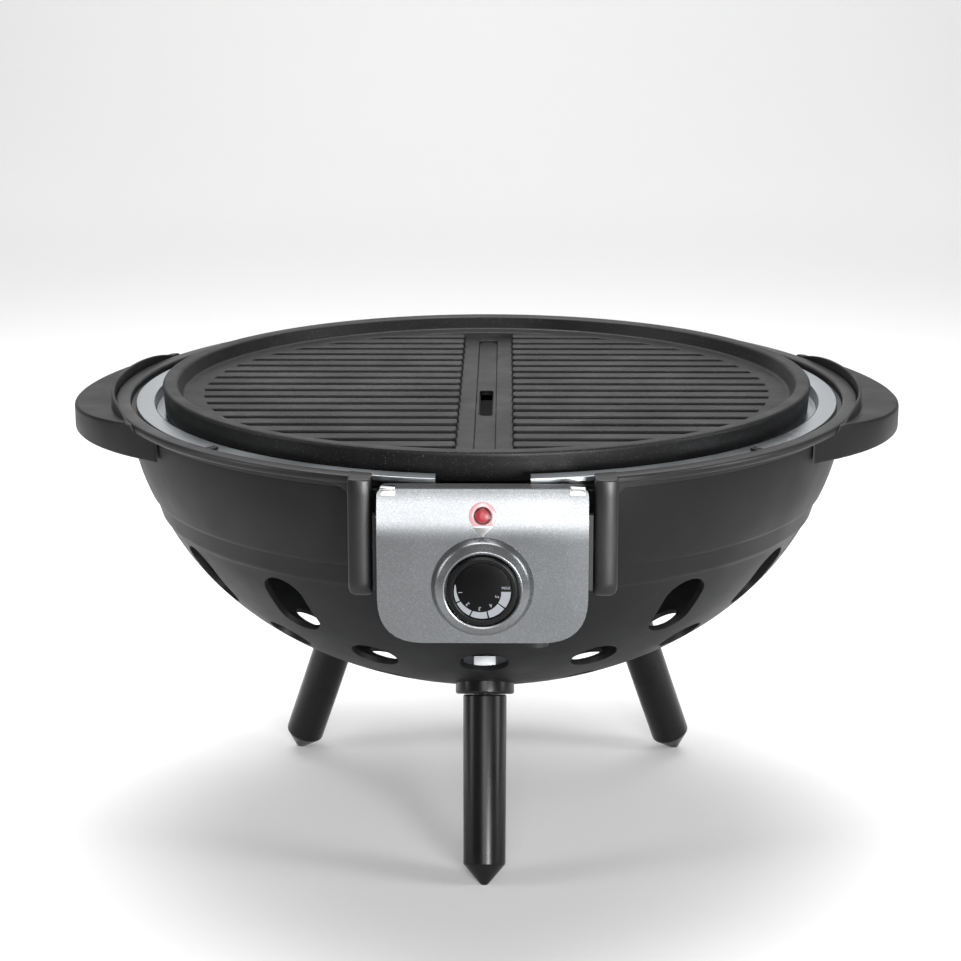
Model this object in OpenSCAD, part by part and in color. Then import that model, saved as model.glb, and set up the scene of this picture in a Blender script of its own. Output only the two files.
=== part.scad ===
// Round table-top electric grill: a plastic kettle bowl on three screw-in legs, with a
// drip tray, a lift-out control and heating unit, and a ribbed cast grill plate.
// Millimetres, +Z up, origin on the table under the middle of the whole grill.
// The control panel faces -Y.

/* [Bowl] */
// Height of the bowl's top edge above the table
bowl_top_z = 222; // [200:0.5:244]
// Half width of the bowl's upper wall at its widest
bowl_r = 189.65; // [172:0.05:208]
// Depth of the bowl's oval lower part below its top edge
bowl_depth = 146.5; // [132:0.5:160]
// Radius of the flat bottom
bowl_bottom_r = 40; // [30:1:50]
// Place of the step in the wall, as an angle from the bottom
ledge_angle = 73.54; // [70:0.02:76]
// How far the upper wall stands out over the lower at the step
ledge_out = 0.8; // [0.4:0.1:1.4]
// Wall of the bowl
bowl_wall = 3; // [2:0.25:4]

/* [Vents] */
// Angle from one vent to the next in the two rings round the wall
vent_pitch = 24; // [24:8:40]
// Width of an upper vent
vent_w = 24; // [16:0.5:28]
// Length of an upper vent up the wall
vent_l = 40; // [30:1:44]
// Place of the upper vents, as an angle from the bottom
vent_upper_angle = 60.1; // [59:0.05:61]
// Diameter of a lower vent
vent_lower_d = 24; // [14:0.5:26]
// Place of the lower vents, as an angle from the bottom
vent_lower_angle = 46.15; // [45.5:0.05:47]
// Diameter of a vent in the bottom
vent_bottom_d = 20; // [12:0.5:24]
// Radius of the outer ring of bottom vents
vent_ring_a = 97; // [94:1:99]
// Radius of the inner ring of bottom vents
vent_ring_b = 57; // [50:1:60]

/* [Collar] */
// How far the collar stands out from the bowl
collar_out = 7.05; // [6:0.05:9]
// Width of the collar's top face
collar_w = 8.2; // [7:0.1:9]
// Height of the collar above the bowl's top edge
collar_rise = 7.9; // [7:0.1:10]
// Height of the collar's outer lip
lip_h = 4; // [3:0.25:5]
// Width of the shelf that the tray rests on
shelf_w = 10.5; // [9:0.5:12]
// Thickness of the shelf
shelf_t = 3.5; // [2.5:0.25:4]
// Width of the gap between the two front posts
bay_w = 102; // [94:0.5:110]
// Width of each front post
post_w = 10.8; // [8:0.5:14]
// Depth of the posts' lower ends below the bowl's top edge
post_drop = 49; // [42:0.5:54]
// How far the posts' faces stand behind the collar's edge
post_in = 1.7; // [1:0.1:3]

/* [Handles] */
// How far each handle stands out from the collar
handle_out = 22.6; // [18:0.1:26]
// Radius of the handle's outline
handle_curve_r = 115; // [106:1:122]
// Half length of the handle
handle_half = 97; // [90:1:98]
// Height of the handle's ends above the collar
handle_rise = 0.5; // [0:0.1:1.5]
// How far the handle's top dips between its ends
handle_dip = 4.3; // [2:0.1:5]
// Depth of the handle
handle_h = 17.1; // [14:0.1:20]
// Wall of the handle
handle_wall = 3; // [2.5:0.25:4]

/* [Legs] */
// Distance of the legs' seats from the bowl's axis
leg_r = 91; // [86:0.5:96]
// Lean of the legs
leg_splay = 21; // [18:0.5:24]
// Diameter of a leg at the top
leg_d = 22.3; // [20:0.1:26]
// Loss of diameter down the leg
leg_taper = 0.9; // [0:0.1:3]
// Height of a leg's pointed end
leg_tip_h = 10; // [8:0.5:12]
// Diameter of the flat end of the tip
leg_tip_d = 6; // [5:0.5:8]
// Width of the socket flange around the leg
socket_rim = 3.85; // [2:0.05:6]
// Thickness of the flange
socket_t = 5; // [4:0.5:7]
// Diameter of the leg's threaded stud
stud_d = 8; // [6:1:10]

/* [Drip tray] */
// Gap around the tray's rim
tray_edge_gap = 2.8; // [2:0.1:4]
// Width of the rim
tray_rim_w = 9.7; // [8.5:0.1:11]
// Thickness of the rim with its folded edge
tray_rim_t = 2.1; // [1.6:0.1:2.6]
// Depth of the plate's seat below the rim
tray_step = 5.9; // [5:0.1:7]
// Thickness of the tray
tray_t = 1.6; // [1.2:0.1:2]
// Depth of the tray below its rim
tray_depth = 41; // [36:1:44]

/* [Grill plate] */
// Gap between the plate and the tray's rim
plate_gap = 4; // [3:0.1:6]
// Thickness of the plate at its cooking face
plate_t = 7.7; // [7:0.1:9]
// Height of the plate's rim above its cooking face
plate_rim_h = 7.5; // [5:0.1:10]
// Width of the border around the ribs
rib_margin = 22; // [19:0.5:30]
// Spacing of the ribs
rib_pitch = 15.7; // [14:0.1:20]
// Width of the grooves between the ribs
groove_w = 6.2; // [4:0.1:8]
// Depth of the grooves
groove_depth = 4; // [2:0.25:5]
// Width of the flat strip between the two rib fields
strip_w = 28; // [22:1:34]
// Width of the drain channel along the strip
channel_w = 10.6; // [9:0.2:14]
// Width of the drain slot
drain_w = 7.3; // [6:0.1:8]
// Length of the drain slot
drain_l = 60; // [40:1:70]

/* [Control unit] */
// Gap between the faceplate and the front posts
panel_gap = 3; // [2:0.1:4]
// Height of the faceplate
panel_h = 71.2; // [65:0.2:80]
// Height of the faceplate's top edge above the bowl's
panel_rise = 4.8; // [4:0.1:6]
// How far the faceplate stands out from the collar
panel_out = 8.3; // [7:0.1:12]
// Thickness of the faceplate
panel_t = 2.5; // [2:0.25:3]
// Radius of the lower corners
panel_corner_r = 18.4; // [10:0.2:24]
// Radius of the upper corners
panel_top_corner_r = 3; // [2:0.5:5]
// Height of the part that leans back
panel_bend_h = 23.8; // [21:0.2:27]
// Radius of the faceplate's bend
panel_bend_r = 50; // [40:1:80]
// Wall of the housing
housing_wall = 2.2; // [1.8:0.1:3]
// Gap between the housing and the tray's rim
housing_gap = 1.3; // [1:0.1:2]
// Width of the neck that enters the bowl
neck_w = 40; // [36:1:44]
// Height of the neck
neck_h = 13.5; // [12:0.5:15]
// Length of the neck behind the housing
neck_l = 29; // [26:0.5:32]

/* [Knob and lamp] */
// Height of the knob's axis above the faceplate's lower edge
knob_up = 26.9; // [26:0.1:30]
// Diameter of the knob
knob_d = 32.8; // [28:0.2:36]
// Height of the knob
knob_h = 6.5; // [5.5:0.1:9]
// Width of the gap around the knob
bezel_gap = 0.7; // [0.5:0.1:1.5]
// Width of the raised ring around the knob
bezel_w = 6.3; // [5:0.1:7]
// Height of the raised ring
bezel_h = 6.5; // [4:0.25:6.5]
// Diameter of the thermostat's shaft
shaft_d = 6; // [5:0.5:8]
// Depth of the lamp's centre below the faceplate's top edge
lamp_down = 10.9; // [10:0.1:12]
// Diameter of the lamp's lens
lens_d = 8; // [6:0.5:9]
// Width of the clear ring around the lens
surround_w = 2.2; // [1.6:0.1:2.6]

/* [Heating element] */
// Diameter of the heating tube
tube_d = 8; // [6.5:0.5:9]
// Height of the tube's centre line above the neck's underside
tube_up = 5; // [4.5:0.1:6]
// Radius of the outer loop
loop_outer_r = 113; // [100:1:118]
// Radius of the inner loop
loop_inner_r = 68; // [60:1:76]
// Spacing of the tube's two ends
tube_ends_w = 24; // [20:1:26]

/* [Fits] */
// Gap between pieces that lift apart
lift_gap = 0.3; // [0.2:0.05:0.5]
// Radial clearance of a turning or sliding pin
run_gap = 0.05; // [0.02:0.01:0.1]
// Gap beside pieces that drop into place
side_gap = 0.5; // [0.3:0.1:0.8]

/* [Hidden] */

$fn = 72;
eps = 0.01;
big = 600;

// Collar, shelf and posts, from the bowl outwards. The bay stops bay_back in front of the axis.
bay_back = 60;
collar_r = bowl_r + collar_out;
collar_inner_r = collar_r - collar_w;
collar_top_z = bowl_top_z + collar_rise;
lip_z = collar_top_z - lip_h;
shelf_r = collar_inner_r - shelf_w;
shelf_top_z = bowl_top_z + shelf_t;
post_x = bay_w / 2;
post_y = collar_r - post_in;
post_z = bowl_top_z - post_drop;
post_round_r = 8;
post_corner_out_r = 5;
post_corner_in_r = 2.5;

// Faceplate and knob, from the collar outwards.
panel_y = collar_r + panel_out;
panel_w = bay_w - 2 * panel_gap;
panel_top_z = bowl_top_z + panel_rise;
panel_bottom_z = panel_top_z - panel_h;
panel_bend_z = panel_top_z - panel_bend_h;
knob_back_gap = 1;
knob_face_y = panel_y + knob_back_gap + knob_h;
knob_z = panel_bottom_z + knob_up;
lamp_z = panel_top_z - lamp_down;

// The bowl's axis stands behind the origin, which is under the middle of the grill.
bowl_y = (knob_face_y - collar_r) / 2;

// The lower oval ends at the step; the upper oval starts there, a little further out.
bowl_lower_r = bowl_r - 3.95;
bowl_lower_z = bowl_top_z;
bowl_upper_z = bowl_top_z + 6;
ledge_z = bowl_lower_z - bowl_depth * cos(ledge_angle);
bowl_upper_depth = (bowl_upper_z - ledge_z)
    / sqrt(1 - pow((bowl_lower_r * sin(ledge_angle) + ledge_out) / bowl_r, 2));

// Outer radius of the wall at height z, less an inset i that follows the wall.
function lower_r(z, i = 0) =
    (bowl_lower_r - i) * sqrt(1 - pow((bowl_lower_z - z) / (bowl_depth - i), 2));
function upper_r(z, i = 0) =
    (bowl_r - i) * sqrt(1 - pow((bowl_upper_z - z) / (bowl_upper_depth - i), 2));
// Height of the lower oval at radius r, and at an angle from the bottom.
function lower_z(r, i = 0) =
    bowl_lower_z - (bowl_depth - i) * sqrt(1 - pow(r / (bowl_lower_r - i), 2));
function lower_angle_z(a) = bowl_lower_z - bowl_depth * cos(a);
// Lean of the wall's outward normal below the horizon, at height z.
function wall_tilt(z) = atan2((bowl_lower_z - z) / pow(bowl_depth, 2),
    lower_r(z) / pow(bowl_lower_r, 2));

bowl_bottom_z = lower_z(bowl_bottom_r);
wall_steps = 14;
upper_steps = 6;

leg_angles = [0, 120, 240];
leg_seat_z = lower_z(leg_r);
leg_l = leg_seat_z / cos(leg_splay);
leg_low_d = leg_d - leg_taper;
leg_edge = 1;
socket_d = leg_d + 2 * socket_rim;
stud_in = 8;
stud_out = 20;
spigot_d = stud_d + 6;
boss_top = 9;
nut_t = 5;
nut_d = 22;
pad_rim = 2;

screw_angles = [40, 90, 140, 220, 270, 320];
screw_d = 3.5;
screw_head_d = 6;
screw_head_t = 2;
screw_cover = 1.5;
boss_d = 8;
boss_h = 10;
boss_r = upper_r(bowl_top_z - boss_h - screw_head_t, bowl_wall) - screw_head_d / 2 - 0.2;

handle_inner_r = upper_r(bowl_top_z) + 1;
handle_top_z = collar_top_z + handle_rise;
handle_bottom_z = handle_top_z - handle_h;
handle_cx = collar_r + handle_out - handle_curve_r;
handle_roof = 4;
handle_screw_y = 45;
handle_screw_l = 15;
handle_dip_r = 850;
// The ridge beside the collar falls away to its ends.
ridge_w = 1.8;
ridge_top_z = collar_top_z + 4.8;
ridge_fall = 5;
ridge_end_gap = 14;
ridge_half = handle_half - ridge_end_gap;
// Distance from the bowl's axis to the middle of the handle's fixing tongue.
tongue_r = (handle_inner_r + collar_r) / 2;
handle_screw_x = sqrt(pow(tongue_r, 2) - pow(handle_screw_y, 2));

tray_r = collar_inner_r - tray_edge_gap;
tray_rim_in_r = tray_r - tray_rim_w;
tray_top_z = shelf_top_z + lift_gap + tray_rim_t;
tray_step_z = tray_top_z - tray_step;
tray_floor_z = tray_top_z - tray_depth;
tray_ledge_w = 4;
tray_wall_w = 12;
tray_foot_w = 14;
lug_angle = 45;
lug_w = 4;
lug_l = 9.5;
lug_rise = 0.8;
notch_drop = 32;
notch_z = bowl_top_z - notch_drop;

plate_r = tray_rim_in_r - plate_gap;
plate_bottom_z = tray_step_z + lift_gap;
plate_face_z = plate_bottom_z + plate_t;
plate_top_z = plate_face_z + plate_rim_h;
rib_area_r = plate_r - rib_margin;
strip_z = plate_face_z - groove_depth;
channel_z = strip_z - 1.5;
ribs_each_way = floor((rib_area_r - rib_pitch / 2) / rib_pitch);
drain_shift = 14;

housing_w = panel_w - 1;
housing_bottom_z = panel_bottom_z + 1;
housing_top_z = panel_top_z - 1;
housing_front_y = panel_y - panel_t;
housing_back_y = tray_r + housing_gap;
cover_t = 2;
cover_screw_in = 10;
cover_screw_up = 22;
cover_screw_t = 1.4;
side_rib_t = 4;
side_rib_h = 36;
gland_x = 25;
gland_y = housing_back_y + 7.5;
gland_d = 11;
gland_h = 4;
tab_w = 7;
tab_t = 1;
tab_in = 5;
tab_lap = 2.4;

neck_top_z = plate_bottom_z - 0.8;
neck_z = neck_top_z - neck_h;
neck_end_y = housing_back_y - neck_l;
neck_foot_t = 6;
neck_foot_w = 24;
neck_foot_gap = 0.8;
neck_wall = 6;
neck_skin = 3;
tray_notch_w = neck_w + 4;
tube_z = neck_z + tube_up;
tube_start_y = housing_back_y - neck_wall;

bush_d = 10;
thermostat_w = 26;
thermostat_h = 28;
thermostat_back_y = housing_back_y + cover_t;
thermostat_front_y = housing_front_y - housing_wall;
shaft_back_y = thermostat_back_y + 3;
shaft_top = 3.8;
terminal_w = 22;
terminal_d = 10;
terminal_h = 14;
terminal_x = 27;
bezel_inner_d = knob_d + 2 * bezel_gap;
bezel_d = bezel_inner_d + 2 * bezel_w;
bezel_crown = 1.2;
bezel_flat_r = bezel_inner_d / 2 + 1.4;
bezel_step = 15;
scale_span = [-105, 91];
scale_parts = 5;
scale_in = 3.4;
scale_min_w = 1;
scale_step_w = 0.75;
scale_print_t = 0.3;
dial_sink = 0.5;
surround_d = lens_d + 2 * surround_w;
surround_stem_d = surround_d - 3;
lens_l = 6;
lens_proud = 1.2;
lamp_d = 5;
pointer_w = 9.4;
pointer_top_z = lamp_z - surround_d / 2 + 1.6;
pointer_tip_z = knob_z + bezel_d / 2 + lift_gap;
pointer_t = 0.8;

// Puts a piece into the bowl's own frame, turned by a about its axis.
module at_bowl(a = 0) {
    translate([0, bowl_y, 0]) rotate([0, 0, a]) children();
}

// Puts a piece on a leg's own axis: its seat at 0, its foot down -Z.
module at_leg(a) {
    at_bowl(a) translate([0, -leg_r, leg_seat_z]) rotate([-leg_splay, 0, 0]) children();
}

// Lays a cylinder along Y from distance far to distance near in front of the bowl's axis.
module along_y(d, near, far, x = 0, z = 0) {
    translate([x, bowl_y - near, z]) rotate([90, 0, 0]) cylinder(d = d, h = far - near);
}

// Outline of the wall, inset by i, as points from the bottom up.
function wall_outline(i) = concat(
    [for (k = [0 : wall_steps])
        let (z0 = bowl_bottom_z + i, t0 = acos((bowl_lower_z - z0) / (bowl_depth - i)),
            t1 = acos((bowl_lower_z - ledge_z) / (bowl_depth - i)),
            t = t0 + (t1 - t0) * k / wall_steps)
        [(bowl_lower_r - i) * sin(t), bowl_lower_z - (bowl_depth - i) * cos(t)]],
    [for (k = [0 : upper_steps])
        let (z = ledge_z + (bowl_top_z - ledge_z) * k / upper_steps) [upper_r(z, i), z]]);

// The whole space inside the wall's outer face, grown by g.
module bowl_solid(g = 0) {
    rotate_extrude()
        polygon(concat([[0, bowl_bottom_z - g]], wall_outline(-g), [[0, bowl_top_z]]));
}

// An opening across the wall, centred at height z.
module vent(w, l, z) {
    translate([0, -lower_r(z), z]) rotate([90 + wall_tilt(z), 0, 0]) {
        depth = 6 * bowl_wall;
        for (s = [-1, 1])
            translate([0, s * (l - w) / 2, -depth / 2]) cylinder(d = w, h = depth);
        if (l > w)
            translate([-w / 2, -(l - w) / 2, -depth / 2]) cube([w, l - w, depth]);
    }
}

module vents() {
    vent_count = floor(360 / vent_pitch + eps);
    // The upper vents stand between the lower ones, and none is behind the control unit.
    for (k = [1 : vent_count - 2])
        rotate([0, 0, vent_pitch * (k + 0.5)])
            vent(vent_w, vent_l, lower_angle_z(vent_upper_angle));
    for (k = [0 : vent_count - 1])
        rotate([0, 0, vent_pitch * k])
            vent(vent_lower_d, vent_lower_d, lower_angle_z(vent_lower_angle));
    for (k = [0 : 11])
        if (k % 4 != 0)
            rotate([0, 0, 30 * k]) vent(vent_bottom_d, vent_bottom_d, lower_z(vent_ring_a));
    for (k = [0 : 4])
        rotate([0, 0, 72 * k]) vent(vent_bottom_d, vent_bottom_d, lower_z(vent_ring_b));
}

module bowl_shell() {
    color("#2b2b2c") difference() {
        union() {
            at_bowl() rotate_extrude()
                polygon(concat([[0, bowl_bottom_z]], wall_outline(0),
                    [for (k = [wall_steps + upper_steps + 1 : -1 : 0]) wall_outline(bowl_wall)[k]],
                    [[0, bowl_bottom_z + bowl_wall]]));
            // Pads for the sockets' nuts, and bosses for the collar's screws.
            intersection() {
                union() {
                    for (a = leg_angles)
                        at_leg(a) translate([0, 0, -boss_top])
                            cylinder(d = nut_d + 2 * pad_rim, h = 2 * boss_top);
                    for (a = screw_angles)
                        at_bowl(a) translate([0, -boss_r, bowl_top_z - boss_h]) {
                            cylinder(d = boss_d, h = boss_h);
                            translate([-boss_d / 3, -boss_d, 0])
                                cube([2 * boss_d / 3, boss_d, boss_h]);
                        }
                }
                at_bowl() bowl_solid(-eps);
            }
        }
        at_bowl() vents();
        // The bay that the control unit drops into.
        translate([-post_x + 2, bowl_y - big / 2, notch_z]) cube([bay_w - 4, big / 2 - bay_back, big]);
        for (a = leg_angles)
            at_leg(a) translate([0, 0, -2 * boss_top])
                cylinder(d = spigot_d + 4 * run_gap, h = 6 * boss_top);
        for (a = screw_angles)
            at_bowl(a) translate([0, -boss_r, bowl_top_z - boss_h - 1])
                cylinder(d = screw_d + 2 * run_gap, h = boss_h + 2);
    }
}

// Front view of a post, from its inner side at x 0 outwards.
module post_front(h) {
    out = post_corner_out_r;
    in = post_corner_in_r;
    translate([0, out]) square([post_w, h - out]);
    translate([in, 0]) square([post_w - in - out, h]);
    translate([in, in]) circle(r = in);
    translate([0, in]) square([post_w - out, h - in]);
    translate([post_w - out, out]) circle(r = out);
}

// One front post of the collar: a rounded lower end and a crowned face.
module post(s) {
    round_r = post_round_r;
    depth = 3 * post_w;
    difference() {
        translate([0, bowl_y, 0]) intersection() {
            mirror([s < 0 ? 1 : 0, 0, 0]) translate([post_x, depth - post_y, post_z])
                rotate([90, 0, 0]) linear_extrude(depth) post_front(collar_top_z - post_z);
            translate([s * (post_x + post_w / 2), -post_y, post_z]) union() {
                translate([-post_w, round_r, 0]) cube([2 * post_w, depth, round_r]);
                translate([-post_w, 0, round_r]) cube([2 * post_w, depth, collar_top_z - post_z]);
                translate([-post_w, round_r, round_r]) rotate([0, 90, 0])
                    cylinder(r = round_r, h = 2 * post_w);
            }
            translate([s * (post_x + post_w / 2), -post_y + post_w, 0])
                cylinder(r = post_w, h = big);
        }
        at_bowl() bowl_solid(lift_gap);
        at_bowl() translate([0, 0, -1]) cylinder(r = collar_inner_r, h = big);
    }
}

module collar_ring() {
    edge = 1;
    at_bowl() rotate_extrude() polygon([
        [shelf_r, bowl_top_z],
        [shelf_r, shelf_top_z],
        [collar_inner_r, shelf_top_z],
        [collar_inner_r, collar_top_z - edge],
        [collar_inner_r + edge, collar_top_z],
        [collar_r - edge, collar_top_z],
        [collar_r, collar_top_z - edge],
        [collar_r, lip_z + edge],
        [collar_r - edge, lip_z],
        [upper_r(lip_z), lip_z],
        [upper_r(bowl_top_z), bowl_top_z]
    ]);
}

module rim_collar() {
    color("#2a2826") difference() {
        union() {
            difference() {
                collar_ring();
                translate([-post_x, bowl_y - big / 2, 0]) cube([bay_w, big / 2 - bay_back, big]);
            }
            for (s = [-1, 1]) post(s);
        }
        for (a = screw_angles)
            at_bowl(a) translate([0, -boss_r, bowl_top_z - 1])
                cylinder(d = screw_d + 2 * run_gap, h = shelf_t);
        for (s = [-1, 1]) handle_screw_holes(s);
    }
}

module handle_screw_holes(s) {
    for (t = [-1, 1])
        translate([s * handle_screw_x, bowl_y + t * handle_screw_y, handle_bottom_z - 1])
            cylinder(d = screw_d + 2 * run_gap, h = handle_screw_l + 2);
}

// Plan of the handle, inset by i from its outer edge.
module handle_plan(i, inner) {
    intersection() {
        difference() {
            translate([handle_cx, 0]) circle(r = handle_curve_r - i, $fn = 180);
            circle(r = inner, $fn = 180);
        }
        translate([0, -handle_half + i]) square([big / 2, 2 * (handle_half - i)]);
    }
}

// Side view of the ridge, as a slab across the grill.
module ridge_side() {
    steps = 12;
    rotate([90, 0, 90]) linear_extrude(big) polygon(concat(
        [[ridge_half, handle_bottom_z], [-ridge_half, handle_bottom_z]],
        [for (k = [-steps : steps])
            [ridge_half * k / steps, ridge_top_z - ridge_fall * pow(abs(k) / steps, 5)]]));
}

module handle(s) {
    gap = run_gap;
    color("#262626") difference() {
        mirror([s < 0 ? 1 : 0, 0, 0]) translate([0, bowl_y, 0]) difference() {
            union() {
                difference() {
                    translate([0, 0, handle_bottom_z])
                        linear_extrude(handle_h) handle_plan(0, collar_r + gap);
                    // The top dips between the ends.
                    translate([0, 0, handle_top_z - handle_dip + handle_dip_r])
                        rotate([0, 90, 0]) cylinder(r = handle_dip_r, h = big, $fn = 360);
                }
                translate([0, 0, handle_bottom_z])
                    linear_extrude(lip_z - gap - handle_bottom_z)
                        handle_plan(0, handle_inner_r);
                // The raised ridge beside the collar.
                intersection() {
                    translate([0, 0, handle_top_z - handle_dip - 1])
                        linear_extrude(ridge_top_z - handle_top_z + handle_dip + 1)
                            intersection() {
                                handle_plan(0, collar_r + gap);
                                circle(r = collar_r + gap + ridge_w, $fn = 180);
                            }
                    ridge_side();
                }
            }
            // The hollow for the fingers below.
            translate([0, 0, handle_bottom_z - 1])
                linear_extrude(handle_h - handle_dip - handle_roof + 1)
                    handle_plan(handle_wall, collar_r + gap);
        }
        handle_screw_holes(s);
    }
}

module handle_left() {
    handle(-1);
}

module handle_right() {
    handle(1);
}

// A screw with its head's face at z 0 and its shank upwards.
module screw(l) {
    translate([0, 0, -screw_head_t]) cylinder(d = screw_head_d, h = screw_head_t);
    cylinder(d = screw_d, h = l);
}

module handle_screws() {
    color("silver") for (s = [-1, 1], t = [-1, 1])
        translate([s * handle_screw_x, bowl_y + t * handle_screw_y, handle_bottom_z])
            screw(handle_screw_l);
}

module rim_screws() {
    color("silver") for (a = screw_angles)
        at_bowl(a) translate([0, -boss_r, bowl_top_z - boss_h])
            screw(boss_h + shelf_t - screw_cover);
}

// Two lugs on the shelf that stop the tray from turning.
module tray_lugs() {
    color("#1c1c1c") for (s = [-1, 1])
        at_bowl(s * lug_angle)
            translate([-lug_w / 2, -collar_inner_r + run_gap, shelf_top_z])
                cube([lug_w, lug_l, tray_top_z - shelf_top_z + lug_rise]);
}

module leg_sockets() {
    color("#161616") for (a = leg_angles) difference() {
        at_leg(a) union() {
            translate([0, 0, -socket_t]) cylinder(d = socket_d, h = socket_t + 3);
            cylinder(d = spigot_d, h = boss_top + nut_t + 1);
        }
        difference() {
            at_bowl() bowl_solid(0);
            at_leg(a) translate([0, 0, -1]) cylinder(d = spigot_d, h = big);
        }
        at_leg(a) translate([0, 0, -big / 2]) cylinder(d = stud_d + 2 * run_gap, h = big);
    }
}

module socket_nuts() {
    color("silver") for (a = leg_angles)
        at_leg(a) translate([0, 0, boss_top]) difference() {
            cylinder(d = nut_d, h = nut_t, $fn = 6);
            translate([0, 0, -1]) cylinder(d = spigot_d + 2 * run_gap, h = nut_t + 2);
        }
}

// One leg: a slightly tapered bar with a blunt point, cut level where it stands.
module leg(a) {
    top = -socket_t - lift_gap;
    color("#141414") intersection() {
        at_leg(a) difference() {
            rotate_extrude() polygon([
                [0, top],
                [leg_d / 2 - leg_edge, top],
                [leg_d / 2, top - leg_edge],
                [leg_low_d / 2, -leg_l + leg_tip_h],
                [leg_low_d / 2 - leg_edge, -leg_l + leg_tip_h - leg_edge],
                [leg_tip_d / 2, -leg_l + 1],
                [leg_tip_d / 2 - 1.4, -leg_l - 0.6],
                [0, -leg_l - 0.8]
            ]);
            translate([0, 0, top - stud_out]) cylinder(d = stud_d + 2 * run_gap, h = big);
        }
        translate([-big / 2, -big / 2, 0]) cube([big, big, big]);
    }
}

module leg_front() {
    leg(leg_angles[0]);
}

module leg_rear_left() {
    leg(leg_angles[2]);
}

module leg_rear_right() {
    leg(leg_angles[1]);
}

module stud(a) {
    color("silver") at_leg(a) translate([0, 0, -socket_t - lift_gap - stud_out + run_gap])
        cylinder(d = stud_d, h = stud_out + socket_t + stud_in);
}

module stud_front() {
    stud(leg_angles[0]);
}

module stud_rear_left() {
    stud(leg_angles[2]);
}

module stud_rear_right() {
    stud(leg_angles[1]);
}

// The tray's section: a flat rim, a step that the plate sits in, and a dish.
function tray_section() =
    let (t = tray_t, rim = tray_rim_in_r, rim_z = tray_top_z - tray_rim_t,
        seat = plate_r - tray_ledge_w, wall = seat - tray_wall_w, floor_r = wall - tray_foot_w)
    [[tray_r, tray_top_z], [rim, tray_top_z], [rim - 0.5, tray_step_z], [seat, tray_step_z],
        [wall, tray_floor_z + tray_wall_w], [wall - 5, tray_floor_z + 4], [floor_r, tray_floor_z],
        [0, tray_floor_z], [0, tray_floor_z - t], [floor_r, tray_floor_z - t],
        [wall - 4, tray_floor_z + 3 - t], [wall + t, tray_floor_z + tray_wall_w - t / 2],
        [seat + t / 2, tray_step_z - t], [rim - 0.5 + t, tray_step_z - t],
        [rim + t, rim_z], [tray_r, rim_z]];

module drip_tray() {
    color("#9fa3a6") difference() {
        at_bowl() rotate_extrude() polygon(tray_section());
        // The notch for the neck, and the slots for the collar's lugs.
        translate([-tray_notch_w / 2, bowl_y - big / 2, neck_z - lift_gap])
            cube([tray_notch_w, big / 2 - neck_end_y + neck_wall, big]);
        for (s = [-1, 1])
            at_bowl(s * lug_angle)
                translate([-lug_w / 2 - side_gap, -collar_inner_r, tray_step_z])
                    cube([lug_w + 2 * side_gap, lug_l + side_gap, 2 * tray_step]);
    }
}

// Distance from the bowl's axis to the faceplate's face at height z.
function face_y(z) = z <= panel_bend_z ? panel_y
    : panel_y - panel_bend_r + sqrt(pow(panel_bend_r, 2) - pow(z - panel_bend_z, 2));

// A slab that follows the faceplate's bend: its face is in by i, its back at distance back.
module bent_slab(i, back, w) {
    steps = 8;
    translate([-w / 2, bowl_y, 0]) rotate([90, 0, 90]) linear_extrude(w)
        polygon(concat(
            [[-back, panel_bottom_z - 1], [-face_y(0) + i, panel_bottom_z - 1]],
            [for (k = [0 : steps])
                let (z = panel_bend_z + (panel_top_z - panel_bend_z) * k / steps) [-face_y(z) + i, z]],
            [[-back, panel_top_z]]));
}

// Front outline of the panel, inset by i: small upper and large lower corners.
module panel_outline(i) {
    w = panel_w / 2 - i;
    low = panel_bottom_z + i;
    high = panel_top_z - i;
    r = panel_corner_r - i;
    q = panel_top_corner_r;
    translate([0, 1, 0]) rotate([90, 0, 0]) linear_extrude(big / 2) union() {
        translate([-w + r, low]) square([2 * (w - r), high - low]);
        translate([-w, low + r]) square([2 * w, high - low - r - q]);
        translate([-w + q, high - q - 1]) square([2 * (w - q), q + 1]);
        for (s = [-1, 1]) {
            translate([s * (w - r), low + r]) circle(r = r);
            translate([s * (w - q), high - q]) circle(r = q);
        }
    }
}

module faceplate() {
    color("#a9abad") difference() {
        union() {
            intersection() {
                panel_outline(0);
                difference() {
                    bent_slab(0, housing_back_y, panel_w + 2);
                    bent_slab(panel_t, housing_back_y - 1, panel_w + 4);
                }
            }
            translate([0, bowl_y - panel_y + 0.5, knob_z]) rotate([90, 0, 0])
                rotate_extrude() polygon([
                    [bezel_inner_d / 2, 0],
                    [bezel_inner_d / 2, bezel_h + 0.5 - bezel_crown / 2],
                    [bezel_inner_d / 2 + 0.8, bezel_h + 0.5],
                    for (a = [0 : bezel_step : 90])
                        [bezel_flat_r + (bezel_d / 2 - bezel_flat_r) * sin(a), 0.5 + bezel_h * cos(a)],
                    [bezel_d / 2, 0]
                ]);
        }
        along_y(bush_d + 4 * run_gap, housing_back_y, knob_face_y, 0, knob_z);
        along_y(surround_d, housing_back_y, knob_face_y, 0, lamp_z);
    }
}

// Bright clips over the top corners of the faceplate.
module faceplate_tabs() {
    color("#e8e8e8") for (s = [-1, 1]) {
        x = s * (panel_w / 2 - tab_in) - tab_w / 2;
        translate([x, bowl_y - face_y(panel_top_z) - tab_t, panel_top_z])
            cube([tab_w, panel_t + 2 * tab_t, tab_t]);
        intersection() {
            translate([x, -big / 2, panel_top_z - tab_lap]) cube([tab_w, big, tab_lap]);
            difference() {
                bent_slab(-tab_t, housing_back_y, panel_w);
                bent_slab(0, housing_back_y - 1, panel_w + 2);
            }
        }
    }
}

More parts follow.
